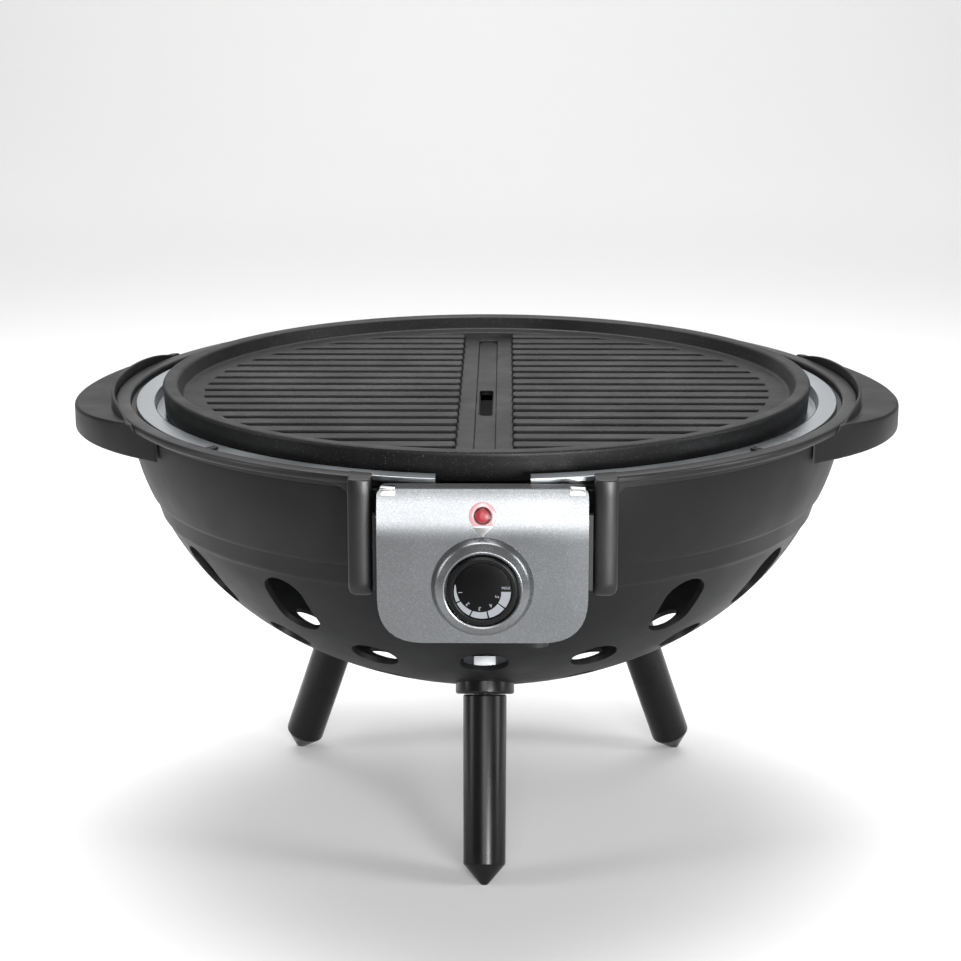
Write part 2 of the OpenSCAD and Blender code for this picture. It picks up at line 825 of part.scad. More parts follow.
module control_housing() {
    w = housing_wall;
    color("#1b1b1b") difference() {
        union() {
            intersection() {
                panel_outline(0.5);
                bent_slab(panel_t + eps, housing_back_y, housing_w);
            }
            // Side ribs that run down inside the posts.
            for (s = [-1, 1])
                translate([s > 0 ? housing_w / 2 - 1 : -post_x + side_gap,
                    bowl_y - housing_back_y - 1.5 * side_rib_t, post_z + side_rib_t])
                    cube([post_x - side_gap - housing_w / 2 + 1, side_rib_t, side_rib_h]);
        }
        intersection() {
            panel_outline(0.5 + w);
            bent_slab(panel_t + w, housing_back_y - 1, housing_w + 2);
        }
        along_y(bush_d + 4 * run_gap, housing_back_y, knob_face_y, 0, knob_z);
        along_y(surround_stem_d + 2 * run_gap, housing_back_y, knob_face_y, 0, lamp_z);
        translate([gland_x, bowl_y - gland_y, housing_bottom_z - 2])
            cylinder(d = gland_d - 3, h = 2 * housing_wall + 4);
    }
}

// The grommet under the housing, where the supply lead enters.
module cord_gland() {
    inner = gland_d - 5;
    color("#101010") difference() {
        translate([gland_x, bowl_y - gland_y, 0]) union() {
            translate([0, 0, housing_bottom_z - gland_h - 1])
                cylinder(d = gland_d, h = gland_h + 0.5 - run_gap);
            translate([0, 0, housing_bottom_z - 2])
                cylinder(d = gland_d - 3 - 2 * run_gap, h = 2 + housing_wall);
        }
        translate([gland_x, bowl_y - gland_y, 0]) cylinder(d = inner, h = big);
    }
}

// The back cover sits inside the housing's rim and carries the neck.
module rear_cover() {
    color("#202020") difference() {
        intersection() {
            panel_outline(0.5 + housing_wall + run_gap);
            translate([-big / 2, bowl_y - housing_back_y - cover_t, 0]) cube([big, cover_t, big]);
        }
        translate([-neck_w / 2 + neck_wall, bowl_y - big / 2, neck_z + neck_skin])
            cube([neck_w - 2 * neck_wall, big / 2, neck_h - 2 * neck_skin]);
    }
}

// The heat-proof neck over the bowl's edge; its foot stands on the edge of the bay.
module neck_block() {
    color("#191919") difference() {
        union() {
            translate([-neck_w / 2, bowl_y - housing_back_y, neck_z])
                cube([neck_w, neck_l, neck_h]);
            translate([-neck_foot_w / 2, bowl_y - housing_back_y, notch_z + neck_foot_gap])
                cube([neck_foot_w, neck_foot_t, neck_z - notch_z]);
        }
        for (s = [-1, 1])
            along_y(tube_d + 2 * run_gap, neck_end_y - 1, tube_start_y,
                s * tube_ends_w / 2, tube_z);
        translate([-neck_w / 2 + neck_wall, bowl_y - housing_back_y - 1, neck_z + neck_skin])
            cube([neck_w - 2 * neck_wall, neck_wall + 2, neck_h - 2 * neck_skin]);
    }
}

// The heads of the back cover's screws.
module housing_screws() {
    color("silver")
        for (s = [-1, 1], z = [housing_bottom_z + cover_screw_up, housing_top_z - cover_screw_in])
            along_y(screw_head_d, housing_back_y - cover_screw_t, housing_back_y,
                s * (housing_w / 2 - cover_screw_in), z);
}

module indicator_surround() {
    color("#d9b9b9") difference() {
        union() {
            along_y(surround_d - 2 * run_gap, face_y(lamp_z) - panel_t / 2,
                face_y(lamp_z) + pointer_t, 0, lamp_z);
            along_y(surround_stem_d, housing_front_y - 2 * lens_l, face_y(lamp_z), 0, lamp_z);
        }
        along_y(lens_d + 2 * run_gap, housing_back_y, knob_face_y, 0, lamp_z);
    }
}

module indicator_lens() {
    color("#7c1018") translate([0, bowl_y - face_y(lamp_z) + lens_l, lamp_z]) rotate([90, 0, 0])
        rotate_extrude() polygon([
            [0, 0],
            [lens_d / 2, 0],
            [lens_d / 2, lens_l + lens_proud - 0.6],
            [lens_d / 2 - 0.7, lens_l + lens_proud],
            [0, lens_l + lens_proud + 0.4]
        ]);
}

// The arrow under the lamp that the knob's scale is read against.
module pointer_mark() {
    color("#e4e4e4") difference() {
        intersection() {
            translate([0, bowl_y, 0]) rotate([90, 0, 0]) linear_extrude(big)
                polygon([[-pointer_w / 2, pointer_top_z], [pointer_w / 2, pointer_top_z],
                    [0, pointer_tip_z]]);
            difference() {
                bent_slab(-pointer_t, housing_back_y, panel_w);
                bent_slab(0, housing_back_y - 1, panel_w + 2);
            }
        }
        along_y(surround_d + 2 * run_gap, housing_back_y, knob_face_y, 0, lamp_z);
    }
}

module neon_lamp() {
    color("#e8a070")
        along_y(lamp_d, thermostat_back_y, face_y(lamp_z) - lens_l - 0.2, 0, lamp_z);
}

module thermostat() {
    color("#c9c2ae") difference() {
        union() {
            translate([-thermostat_w / 2, bowl_y - thermostat_front_y, knob_z - thermostat_h / 2])
                cube([thermostat_w, thermostat_front_y - thermostat_back_y, thermostat_h]);
            along_y(bush_d, thermostat_front_y - 2, panel_y, 0, knob_z);
        }
        along_y(shaft_d + 2 * run_gap, shaft_back_y, knob_face_y, 0, knob_z);
    }
}

module thermostat_shaft() {
    color("silver")
        along_y(shaft_d, shaft_back_y + 0.2, knob_face_y - shaft_top - 0.2, 0, knob_z);
}

module terminal_block() {
    color("#e9e4d6")
        translate([-terminal_x - terminal_w / 2, bowl_y - thermostat_back_y - terminal_d,
            knob_z - terminal_h / 2])
            cube([terminal_w, terminal_d, terminal_h]);
}

// The knob: a skirt, a stepped rim and a flat dial, bored for the shaft.
module knob() {
    back = panel_y + knob_back_gap;
    dial_z = knob_h - dial_sink;
    color("#101012") difference() {
        translate([0, bowl_y - back, knob_z]) rotate([90, 0, 0]) rotate_extrude() polygon([
            [0, 0],
            [knob_d / 2, 0],
            [knob_d / 2 - 0.4, knob_h - 1.2],
            [knob_d / 2 - 1.4, knob_h],
            [knob_d / 2 - 2.4, knob_h],
            [knob_d / 2 - 2.8, dial_z],
            [0, dial_z]
        ]);
        along_y(shaft_d + 2 * run_gap, back - 1, knob_face_y - shaft_top, 0, knob_z);
    }
}

// The growing wedge around the dial's lower half, in five parts.
module dial_scale() {
    outer = knob_d / 2 - scale_in;
    gap_a = 3;
    step_a = (scale_span[1] - scale_span[0]) / scale_parts;
    color("#8e9094") translate([0, bowl_y - knob_face_y + dial_sink, knob_z]) rotate([90, 0, 0])
        for (k = [0 : scale_parts - 1]) {
            a0 = scale_span[0] + k * step_a + gap_a / 2;
            a1 = a0 + step_a - gap_a;
            w0 = scale_min_w + scale_step_w * k;
            w1 = w0 + scale_step_w;
            linear_extrude(scale_print_t) polygon(concat(
                [for (j = [0 : 5]) let (a = a0 + (a1 - a0) * j / 5) [outer * sin(a), -outer * cos(a)]],
                [for (j = [5 : -1 : 0])
                    let (a = a0 + (a1 - a0) * j / 5, r = outer - w0 - (w1 - w0) * j / 5)
                    [r * sin(a), -r * cos(a)]]));
        }
}

// Points along an arc from angle a0 to a1, where 0 is the front and 90 the right.
function arc_points(cx, cy, r, a0, a1, n) =
    [for (k = [1 : n]) let (a = a0 + (a1 - a0) * k / n) [cx + r * sin(a), cy - r * cos(a)]];

element_back_a = 160;
element_bend_r = 14;
element_bend_x = tube_ends_w / 2 + element_bend_r;
element_bend_y = sqrt(pow(loop_outer_r + element_bend_r, 2) - pow(element_bend_x, 2));
element_open_a = atan2(element_bend_x, element_bend_y);
element_turn_r = (loop_outer_r - loop_inner_r) / 2;
element_mid_r = (loop_outer_r + loop_inner_r) / 2;

// Right half of the tube's centre line: lead, bend, outer loop and turn at the back.
half_line = concat(
    [[tube_ends_w / 2, run_gap - tube_start_y], [tube_ends_w / 2, -element_bend_y]],
    arc_points(element_bend_x, -element_bend_y, element_bend_r, 270, 180 + element_open_a, 5),
    arc_points(0, 0, loop_outer_r, element_open_a, element_back_a, 20),
    arc_points(element_mid_r * sin(element_back_a), -element_mid_r * cos(element_back_a),
        element_turn_r, element_back_a, element_back_a + 180, 8));
half_count = len(half_line);
element_line = concat(half_line,
    arc_points(0, 0, loop_inner_r, element_back_a, -element_back_a, 20),
    [for (k = [half_count - 2 : -1 : 0]) [-half_line[k][0], half_line[k][1]]]);

module heating_element() {
    sides = 12;
    n = len(element_line);
    rings = [for (k = [0 : n - 1])
        let (d = element_line[min(k + 1, n - 1)] - element_line[max(k - 1, 0)], t = d / norm(d))
        [for (j = [0 : sides - 1]) let (a = 360 * j / sides, u = tube_d / 2 * cos(a))
            [element_line[k][0] + u * t[1], element_line[k][1] - u * t[0],
                tube_z + tube_d / 2 * sin(a)]]];
    color("#6e6a66") at_bowl() polyhedron(
        points = [for (ring = rings) for (q = ring) q],
        faces = concat(
            [[for (j = [0 : sides - 1]) j]],
            [for (k = [0 : n - 2], j = [0 : sides - 1])
                [k * sides + j, (k + 1) * sides + j,
                    (k + 1) * sides + (j + 1) % sides, k * sides + (j + 1) % sides]],
            [[for (j = [sides - 1 : -1 : 0]) (n - 1) * sides + j]]));
}

// Flat straps under the tube, each with two feet on the tray's floor.
module element_brackets() {
    strap_w = 10;
    strap_t = 1.5;
    strap_z = tube_z - tube_d / 2 - strap_t;
    inner = loop_inner_r - tube_d;
    outer = loop_outer_r + tube_d;
    color("#b8b8b8") for (a = [90, 180, 270]) at_bowl(a) {
        translate([-strap_w / 2, -outer, strap_z]) cube([strap_w, outer - inner, strap_t]);
        for (r = [inner, outer - strap_t])
            translate([-strap_w / 2, -r - strap_t, tray_floor_z + lift_gap])
                cube([strap_w, strap_t, strap_z - tray_floor_z - lift_gap + strap_t]);
    }
}

module grill_plate() {
    lip = 8;
    channel_end = 4;
    color("#1f1f20") difference() {
        at_bowl() rotate_extrude() polygon([
            [0, plate_bottom_z],
            [plate_r - 1.5, plate_bottom_z],
            [plate_r, plate_top_z - 2.2],
            [plate_r - 1.2, plate_top_z - 0.6],
            [plate_r - 3, plate_top_z],
            [plate_r - 5.5, plate_top_z],
            [plate_r - lip, plate_top_z - 1.4],
            [plate_r - lip - 3, plate_face_z + 0.6],
            [plate_r - lip - 4, plate_face_z],
            [0, plate_face_z]
        ]);
        at_bowl() intersection() {
            union() {
                translate([-strip_w / 2, -rib_area_r, strip_z])
                    cube([strip_w, 2 * rib_area_r, plate_t]);
                for (k = [-ribs_each_way - 1 : ribs_each_way])
                    translate([-rib_area_r, (k + 0.5) * rib_pitch - groove_w / 2, strip_z])
                        cube([2 * rib_area_r, groove_w, plate_t]);
                translate([-channel_w / 2, -rib_area_r + channel_end, channel_z])
                    cube([channel_w, 2 * (rib_area_r - channel_end), plate_t]);
            }
            translate([0, 0, channel_z - 1]) cylinder(r = rib_area_r, h = 2 * plate_t);
        }
        translate([-drain_w / 2, bowl_y - drain_l / 2 - drain_shift, plate_bottom_z - 1])
            cube([drain_w, drain_l, 2 * plate_t]);
    }
}

bowl_shell();
rim_collar();
handle_left();
handle_right();
handle_screws();
rim_screws();
tray_lugs();
leg_sockets();
socket_nuts();
drip_tray();
control_housing();
rear_cover();
neck_block();
faceplate();
faceplate_tabs();
housing_screws();
indicator_surround();
indicator_lens();
pointer_mark();
neon_lamp();
thermostat();
terminal_block();
heating_element();
element_brackets();
cord_gland();
knob();
dial_scale();
thermostat_shaft();
grill_plate();
leg_front();
leg_rear_left();
leg_rear_right();
stud_front();
stud_rear_left();
stud_rear_right();
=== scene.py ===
"""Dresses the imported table-top electric grill: new meshes, finishes, floor, light and camera.

Every piece is modelled in millimetres around the bowl's own axis and is then placed in the
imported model's frame, in metres. Azimuth 0 is the front of the grill and 90 its right side.
"""
import logging
import math
from dataclasses import dataclass
from enum import Enum
from typing import Callable, Iterable, Sequence

import bmesh
import bpy
from mathutils import Matrix, Vector


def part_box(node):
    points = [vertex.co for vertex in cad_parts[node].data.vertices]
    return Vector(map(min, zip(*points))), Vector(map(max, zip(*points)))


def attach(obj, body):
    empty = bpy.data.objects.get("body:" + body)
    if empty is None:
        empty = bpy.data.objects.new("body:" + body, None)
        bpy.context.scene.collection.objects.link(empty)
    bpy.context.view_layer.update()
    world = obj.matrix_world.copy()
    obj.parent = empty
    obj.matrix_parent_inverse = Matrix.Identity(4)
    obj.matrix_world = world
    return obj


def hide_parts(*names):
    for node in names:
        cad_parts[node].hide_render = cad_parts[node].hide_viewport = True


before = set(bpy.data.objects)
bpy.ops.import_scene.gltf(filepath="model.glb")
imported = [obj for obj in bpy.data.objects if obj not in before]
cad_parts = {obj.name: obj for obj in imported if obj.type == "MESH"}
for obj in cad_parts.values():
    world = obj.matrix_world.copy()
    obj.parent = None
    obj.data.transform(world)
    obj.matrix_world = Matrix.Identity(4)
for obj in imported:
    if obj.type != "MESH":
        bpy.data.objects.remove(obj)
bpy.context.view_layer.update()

LOG = logging.getLogger("grill")
MM = 0.001
MERGE = 0.0005  # vertices nearer than this, in millimetres, count as one
FULL_TURN = 360.0
Point = tuple[float, float]


# ---------------------------------------------------------------- sizes from the frame

def box_mm(node: str) -> tuple[Vector, Vector]:
    """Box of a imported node.

    Args:
        node: name of the node.
    Returns:
        Its lowest and highest corners, in millimetres.
    """
    low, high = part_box(node)
    return low / MM, high / MM


@dataclass(frozen=True)
class GrillSizes:
    """Sizes that several sub-assemblies share, in millimetres."""

    axis_y: float
    bowl_top: float
    collar_r: float
    collar_top: float
    tray_r: float
    tray_top: float
    plate_r: float
    plate_bottom: float
    plate_top: float
    panel_bottom: float
    panel_top: float
    knob_face: float
    collar_out: float = 7.05
    collar_w: float = 8.2
    step_angle: float = 73.54
    step_out: float = 0.8
    bowl_depth: float = 146.5
    wall: float = 3.0
    lip_h: float = 4.0
    panel_out: float = 8.3
    bay_w: float = 102.0

    @classmethod
    def from_frame(cls) -> "GrillSizes":
        """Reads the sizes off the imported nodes."""
        plate_low, plate_high = box_mm("grill_plate")
        axis_y = (plate_low.y + plate_high.y) / 2
        collar_high = box_mm("rim_collar")[1]
        tray_high = box_mm("drip_tray")[1]
        panel_low, panel_high = box_mm("faceplate")
        return cls(
            axis_y=axis_y,
            bowl_top=box_mm("bowl_shell")[1].z,
            collar_r=collar_high.x,
            collar_top=collar_high.z,
            tray_r=tray_high.x,
            tray_top=tray_high.z,
            plate_r=plate_high.x,
            plate_bottom=plate_low.z,
            plate_top=plate_high.z,
            panel_bottom=panel_low.z,
            panel_top=panel_high.z,
            knob_face=axis_y - box_mm("knob")[0].y,
        )

    @property
    def bowl_r(self) -> float:
        """Half width of the bowl's upper wall at its widest."""
        return self.collar_r - self.collar_out

    @property
    def collar_inner_r(self) -> float:
        """Inner radius of the collar's upstand."""
        return self.collar_r - self.collar_w

    @property
    def panel_y(self) -> float:
        """Distance of the faceplate's face from the bowl's axis."""
        return self.collar_r + self.panel_out


SIZES = GrillSizes.from_frame()
PLACE = Matrix.Translation((0, SIZES.axis_y * MM, 0)) @ Matrix.Scale(MM, 4)


# ---------------------------------------------------------------- outlines and solids

def arc(centre: Point, radius: float, start: float, end: float, steps: int) -> list[Point]:
    """Points along an arc.

    Args:
        centre: middle of the arc.
        radius: its radius.
        start: first angle in degrees, anticlockwise from the first axis.
        end: last angle.
        steps: number of chords.
    Returns:
        steps + 1 points.
    """
    turns = (math.radians(start + (end - start) * k / steps) for k in range(steps + 1))
    return [(centre[0] + radius * math.cos(t), centre[1] + radius * math.sin(t)) for t in turns]


def rounded(corners: Sequence[tuple[float, float, float]], steps: int = 4,
            closed: bool = True) -> list[Point]:
    """Rounds the corners of an outline.

    Args:
        corners: first coordinate, second coordinate and radius of each corner.
        steps: chords in each round.
        closed: whether the last corner joins the first.
    Returns:
        The outline's points; a corner of radius 0 stays one point.
    """
    points: list[Point] = []
    count = len(corners)
    for k, (x, y, radius) in enumerate(corners):
        here = Vector((x, y))
        end = not closed and k in (0, count - 1)
        if radius <= 0 or end:
            points.append((x, y))
            continue
        before = Vector(corners[k - 1][:2]) - here
        after = Vector(corners[(k + 1) % count][:2]) - here
        half = max(before.angle(after) / 2, 0.05)
        reach = min(radius / math.tan(half), 0.48 * before.length, 0.48 * after.length)
        first = here + before.normalized() * reach
        last = here + after.normalized() * reach
        for j in range(steps + 1):
            t = j / steps
            spot = first * (1 - t) ** 2 + here * 2 * t * (1 - t) + last * t ** 2
            points.append((spot.x, spot.y))
    return points


def chain(bm: bmesh.types.BMesh, spots: Iterable[Sequence[float]],
          closed: bool = True) -> tuple[list, list]:
    """Adds a line of vertices joined by edges.

    Args:
        bm: mesh that receives them.
        spots: places of the vertices.
        closed: whether the last joins the first.
    Returns:
        The vertices and the edges.
    """
    verts = [bm.verts.new(spot) for spot in spots]
    pairs = list(zip(verts, verts[1:] + verts[:1]))
    if not closed:
        pairs.pop()
    return verts, [bm.edges.new(pair) for pair in pairs]


def new_verts(made: dict) -> list[bmesh.types.BMVert]:
    """Vertices among what an operator made."""
    return [item for item in made["geom"] if isinstance(item, bmesh.types.BMVert)]


def everything(bm: bmesh.types.BMesh) -> list:
    """All vertices, edges and faces of a mesh."""
    return bm.verts[:] + bm.edges[:] + bm.faces[:]


def open_edges(bm: bmesh.types.BMesh) -> list[bmesh.types.BMEdge]:
    """Edges that have a face on one side only."""
    return [e for e in bm.edges if e.is_boundary]


def tidy(bm: bmesh.types.BMesh, distance: float = MERGE) -> bmesh.types.BMesh:
    """Merges doubles and turns all faces outwards; returns the same mesh."""
    bmesh.ops.remove_doubles(bm, verts=bm.verts[:], dist=distance)
    bmesh.ops.dissolve_degenerate(bm, dist=distance, edges=bm.edges[:])
    bmesh.ops.recalc_face_normals(bm, faces=bm.faces[:])
    return bm


def lathe(profile: Sequence[Point], closed: bool = True, steps: int = 96,
          start: float = 0.0, turn: float = FULL_TURN) -> bmesh.types.BMesh:
    """Spins a profile about the upright axis.

    Args:
        profile: radius and height of each point.
        closed: whether the profile is a closed section.
        steps: chords in the turn.
        start: azimuth where the turn starts.
        turn: degrees that it covers.
    Returns:
        The spun mesh, with the ends of a part turn filled when the profile is closed.
    """
    bm = bmesh.new()
    whole = turn >= FULL_TURN
    verts, edges = chain(bm, [(r, 0.0, z) for r, z in profile], closed)
    bmesh.ops.rotate(bm, verts=verts, matrix=Matrix.Rotation(math.radians(start - 90), 3, "Z"))
    bmesh.ops.spin(bm, geom=verts + edges, cent=(0, 0, 0), axis=(0, 0, 1), dvec=(0, 0, 0),
                   angle=math.radians(turn), steps=steps, use_merge=whole)
    if closed and not whole:
        bmesh.ops.holes_fill(bm, edges=open_edges(bm))
    return tidy(bm)


def loft(loops: Sequence[Sequence[Sequence[float]]], caps: bool = True) -> bmesh.types.BMesh:
    """Extrudes a closed outline from loop to loop.

    Args:
        loops: places of the outline's vertices at each station, as many at each.
        caps: whether the first and last outlines are filled.
    Returns:
        The closed mesh.
    """
    bm = bmesh.new()
    ring, edges = chain(bm, loops[0])
    for loop in loops[1:]:
        fresh = set(new_verts(bmesh.ops.extrude_edge_only(bm, edges=edges)))
        ring = [next(e.other_vert(v) for e in v.link_edges if e.other_vert(v) in fresh)
                for v in ring]
        for vert, spot in zip(ring, loop):
            vert.co = spot
        edges = [bm.edges.get(pair) for pair in zip(ring, ring[1:] + ring[:1])]
    if caps:
        bmesh.ops.holes_fill(bm, edges=open_edges(bm))
    return tidy(bm)


def prism(outline: Sequence[Point], low: float, high: float,
          edge: float = 0.5) -> bmesh.types.BMesh:
    """Stands an outline up as a solid with bevelled rims.

    Args:
        outline: its points, in plan.
        low: height of the underside.
        high: height of the top.
        edge: width of the bevel.
    Returns:
        The solid.
    """
    bm = bmesh.new()
    verts, _ = chain(bm, [(x, y, low) for x, y in outline])
    face = bm.faces.new(verts)
    lifted = new_verts(bmesh.ops.extrude_face_region(bm, geom=[face]))
    bmesh.ops.translate(bm, verts=lifted, vec=(0, 0, high - low))
    tidy(bm)
    if edge > 0:
        rims = [e for e in bm.edges if abs(e.verts[0].co.z - e.verts[1].co.z) < 1e-4]
        bevel(bm, rims, edge)
    return bm


def bevel(bm: bmesh.types.BMesh, edges: list, width: float, segments: int = 3) -> None:
    """Rounds edges.

    Args:
        bm: mesh that holds them.
        edges: the edges.
        width: width of the round in the mesh's units.
        segments: strips in it.
    """
    bmesh.ops.bevel(bm, geom=edges, offset=width, offset_type="OFFSET", segments=segments,
                    profile=0.5, affect="EDGES", clamp_overlap=True, material=-1)


def join(target: bmesh.types.BMesh, part: bmesh.types.BMesh, place: Matrix | None = None) -> None:
    """Adds a mesh to another one.

    Args:
        target: mesh that receives it.
        part: mesh that is added and then freed.
        place: where it goes.
    """
    if place is not None:
        part.transform(place)
    held = bpy.data.meshes.new("joined")
    part.to_mesh(held)
    part.free()
    target.from_mesh(held)
    bpy.data.meshes.remove(held)


def turned(azimuth: float) -> Matrix:
    """Turn about the bowl's axis by an azimuth in degrees."""
    return Matrix.Rotation(math.radians(azimuth), 4, "Z")


def facing_front(distance: float, x: float = 0.0, z: float = 0.0) -> Matrix:
    """Lays a lathed piece with its axis towards the cook.

    Args:
        distance: distance of its zero height in front of the bowl's axis.
        x: place across.
        z: height of its axis.
    Returns:
        The place as a matrix.
    """
    return Matrix.Translation((x, -distance, z)) @ Matrix.Rotation(math.radians(90), 4, "X")


# ---------------------------------------------------------------- finishes

def linear(hex_colour: str) -> tuple[float, float, float, float]:
    """Turns an sRGB hex colour into linear values.

    Args:
        hex_colour: six hex digits after a hash.
    Returns:
        Linear red, green, blue and an alpha of 1.
    """
    parts = [int(hex_colour[k:k + 2], 16) / 255 for k in (1, 3, 5)]
    red, green, blue = (c / 12.92 if c <= 0.04045 else ((c + 0.055) / 1.055) ** 2.4 for c in parts)
    return red, green, blue, 1.0


def add_node(tree: bpy.types.NodeTree, kind: str, values: dict | None = None,
             links: dict | None = None, **settings: object) -> bpy.types.Node:
    """Adds a shader node.

    Args:
        tree: node tree that receives it.
        kind: the node's type.
        values: values of its input sockets by name or number.
        links: output sockets that feed its inputs, by name or number.
        settings: the node's own properties.
    Returns:
        The node.
    """
    node = tree.nodes.new(kind)
    for name, setting in settings.items():
        setattr(node, name, setting)
    for name, amount in (values or {}).items():
        node.inputs[name].default_value = amount
    for name, source in (links or {}).items():
        tree.links.new(source, node.inputs[name])
    return node


def per_mm(size: float) -> float:
    """Texture scale whose features are a given number of millimetres across."""
    return 1 / (size * MM)


@dataclass(frozen=True)
class Finish:
    """A plain finish: one colour with a fine grain in its surface.

    The grain is a noise that dents the surface and shifts its gloss a little.
    """

    name: str
    slot: str
    colour: str
    roughness: float
    metallic: float = 0.0
    ior: float = 1.5
    coat: float = 0.0
    coat_roughness: float = 0.08
    grain: float = 0.8
    grain_depth: float = 0.02
    uneven: float = 0.06
    patch: float = 30.0

    def build(self) -> bpy.types.Material:
        """Makes the material or returns the one made before."""
        made = bpy.data.materials.get(self.name)
        if made:
            return made
        made = bpy.data.materials.new(self.name)
        made.use_nodes = True
        tree = made.node_tree
        tree.nodes.clear()
        place = add_node(tree, "ShaderNodeTexCoord").outputs["Object"]
        shader = add_node(tree, "ShaderNodeBsdfPrincipled", {
            "Base Color": linear(self.colour), "Roughness": self.roughness,
            "Metallic": self.metallic, "Coat Weight": self.coat,
            "Coat Roughness": self.coat_roughness})
        if self.metallic < 1:
            shader.inputs["IOR"].default_value = self.ior
        self.surface(tree, place, shader)
        add_node(tree, "ShaderNodeOutputMaterial", links={"Surface": shader.outputs[0]})
        made.diffuse_color = linear(self.colour)
        return made

    def surface(self, tree: bpy.types.NodeTree, place: bpy.types.NodeSocket,
                shader: bpy.types.Node) -> None:
        """Adds the grain and the uneven gloss.

        Args:
            tree: the material's tree.
            place: Object coordinates.
            shader: the material's shader.
        """
        self.uneven_gloss(tree, place, shader)
        fine = add_node(tree, "ShaderNodeTexNoise",
                        {"Scale": per_mm(self.grain), "Detail": 3.0, "Roughness": 0.6},
                        {"Vector": place})
        bump = add_node(tree, "ShaderNodeBump",
                        {"Strength": 1.0, "Distance": self.grain_depth * MM},
                        {"Height": fine.outputs[0]})
        tree.links.new(bump.outputs[0], shader.inputs["Normal"])

    def uneven_gloss(self, tree: bpy.types.NodeTree, place: bpy.types.NodeSocket,
                     shader: bpy.types.Node) -> None:
        """Lets the gloss wander over patches.

        Args:
            tree: the material's tree.
            place: Object coordinates.
            shader: the material's shader.
        """
        broad = add_node(tree, "ShaderNodeTexNoise",
                         {"Scale": per_mm(self.patch), "Detail": 4.0}, {"Vector": place})
        gloss = add_node(tree, "ShaderNodeMapRange",
                         {"From Min": 0.3, "From Max": 0.7,
                          "To Min": max(self.roughness - self.uneven, 0.02),
                          "To Max": self.roughness + self.uneven},
                         {"Value": broad.outputs[0]})
        tree.links.new(gloss.outputs[0], shader.inputs["Roughness"])


@dataclass(frozen=True)
class FlakeFinish(Finish):
    """A finish with fine bright flakes or specks in its colour; on the non-stick coating these
    specks paint its sparkle.

    Real flakes are under 0.1 mm, which is too fine to show, so they are drawn coarser.
    """

    fleck: float = 0.7
    fleck_colour: str = "#ffffff"
    fleck_share: float = 0.1
    fleck_tilt: float = 0.0

    def surface(self, tree: bpy.types.NodeTree, place: bpy.types.NodeSocket,
                shader: bpy.types.Node) -> None:
        """Adds the grain and the uneven gloss, and mixes the flakes into the colour."""
        super().surface(tree, place, shader)
        cells = add_node(tree, "ShaderNodeTexVoronoi", {"Scale": per_mm(self.fleck)},
                         {"Vector": place})
        spread = add_node(tree, "ShaderNodeSeparateColor", links={0: cells.outputs["Color"]})
        bright = add_node(tree, "ShaderNodeMapRange",
                          {"From Min": 1 - self.fleck_share, "From Max": 1.0,
                           "To Min": 0.0, "To Max": 1.0},
                          {"Value": spread.outputs[0]}, interpolation_type="SMOOTHSTEP")
        mix = add_node(tree, "ShaderNodeMix",
                       {6: linear(self.colour), 7: linear(self.fleck_colour)},
                       {0: bright.outputs[0]}, data_type="RGBA")
        tree.links.new(mix.outputs[2], shader.inputs["Base Color"])


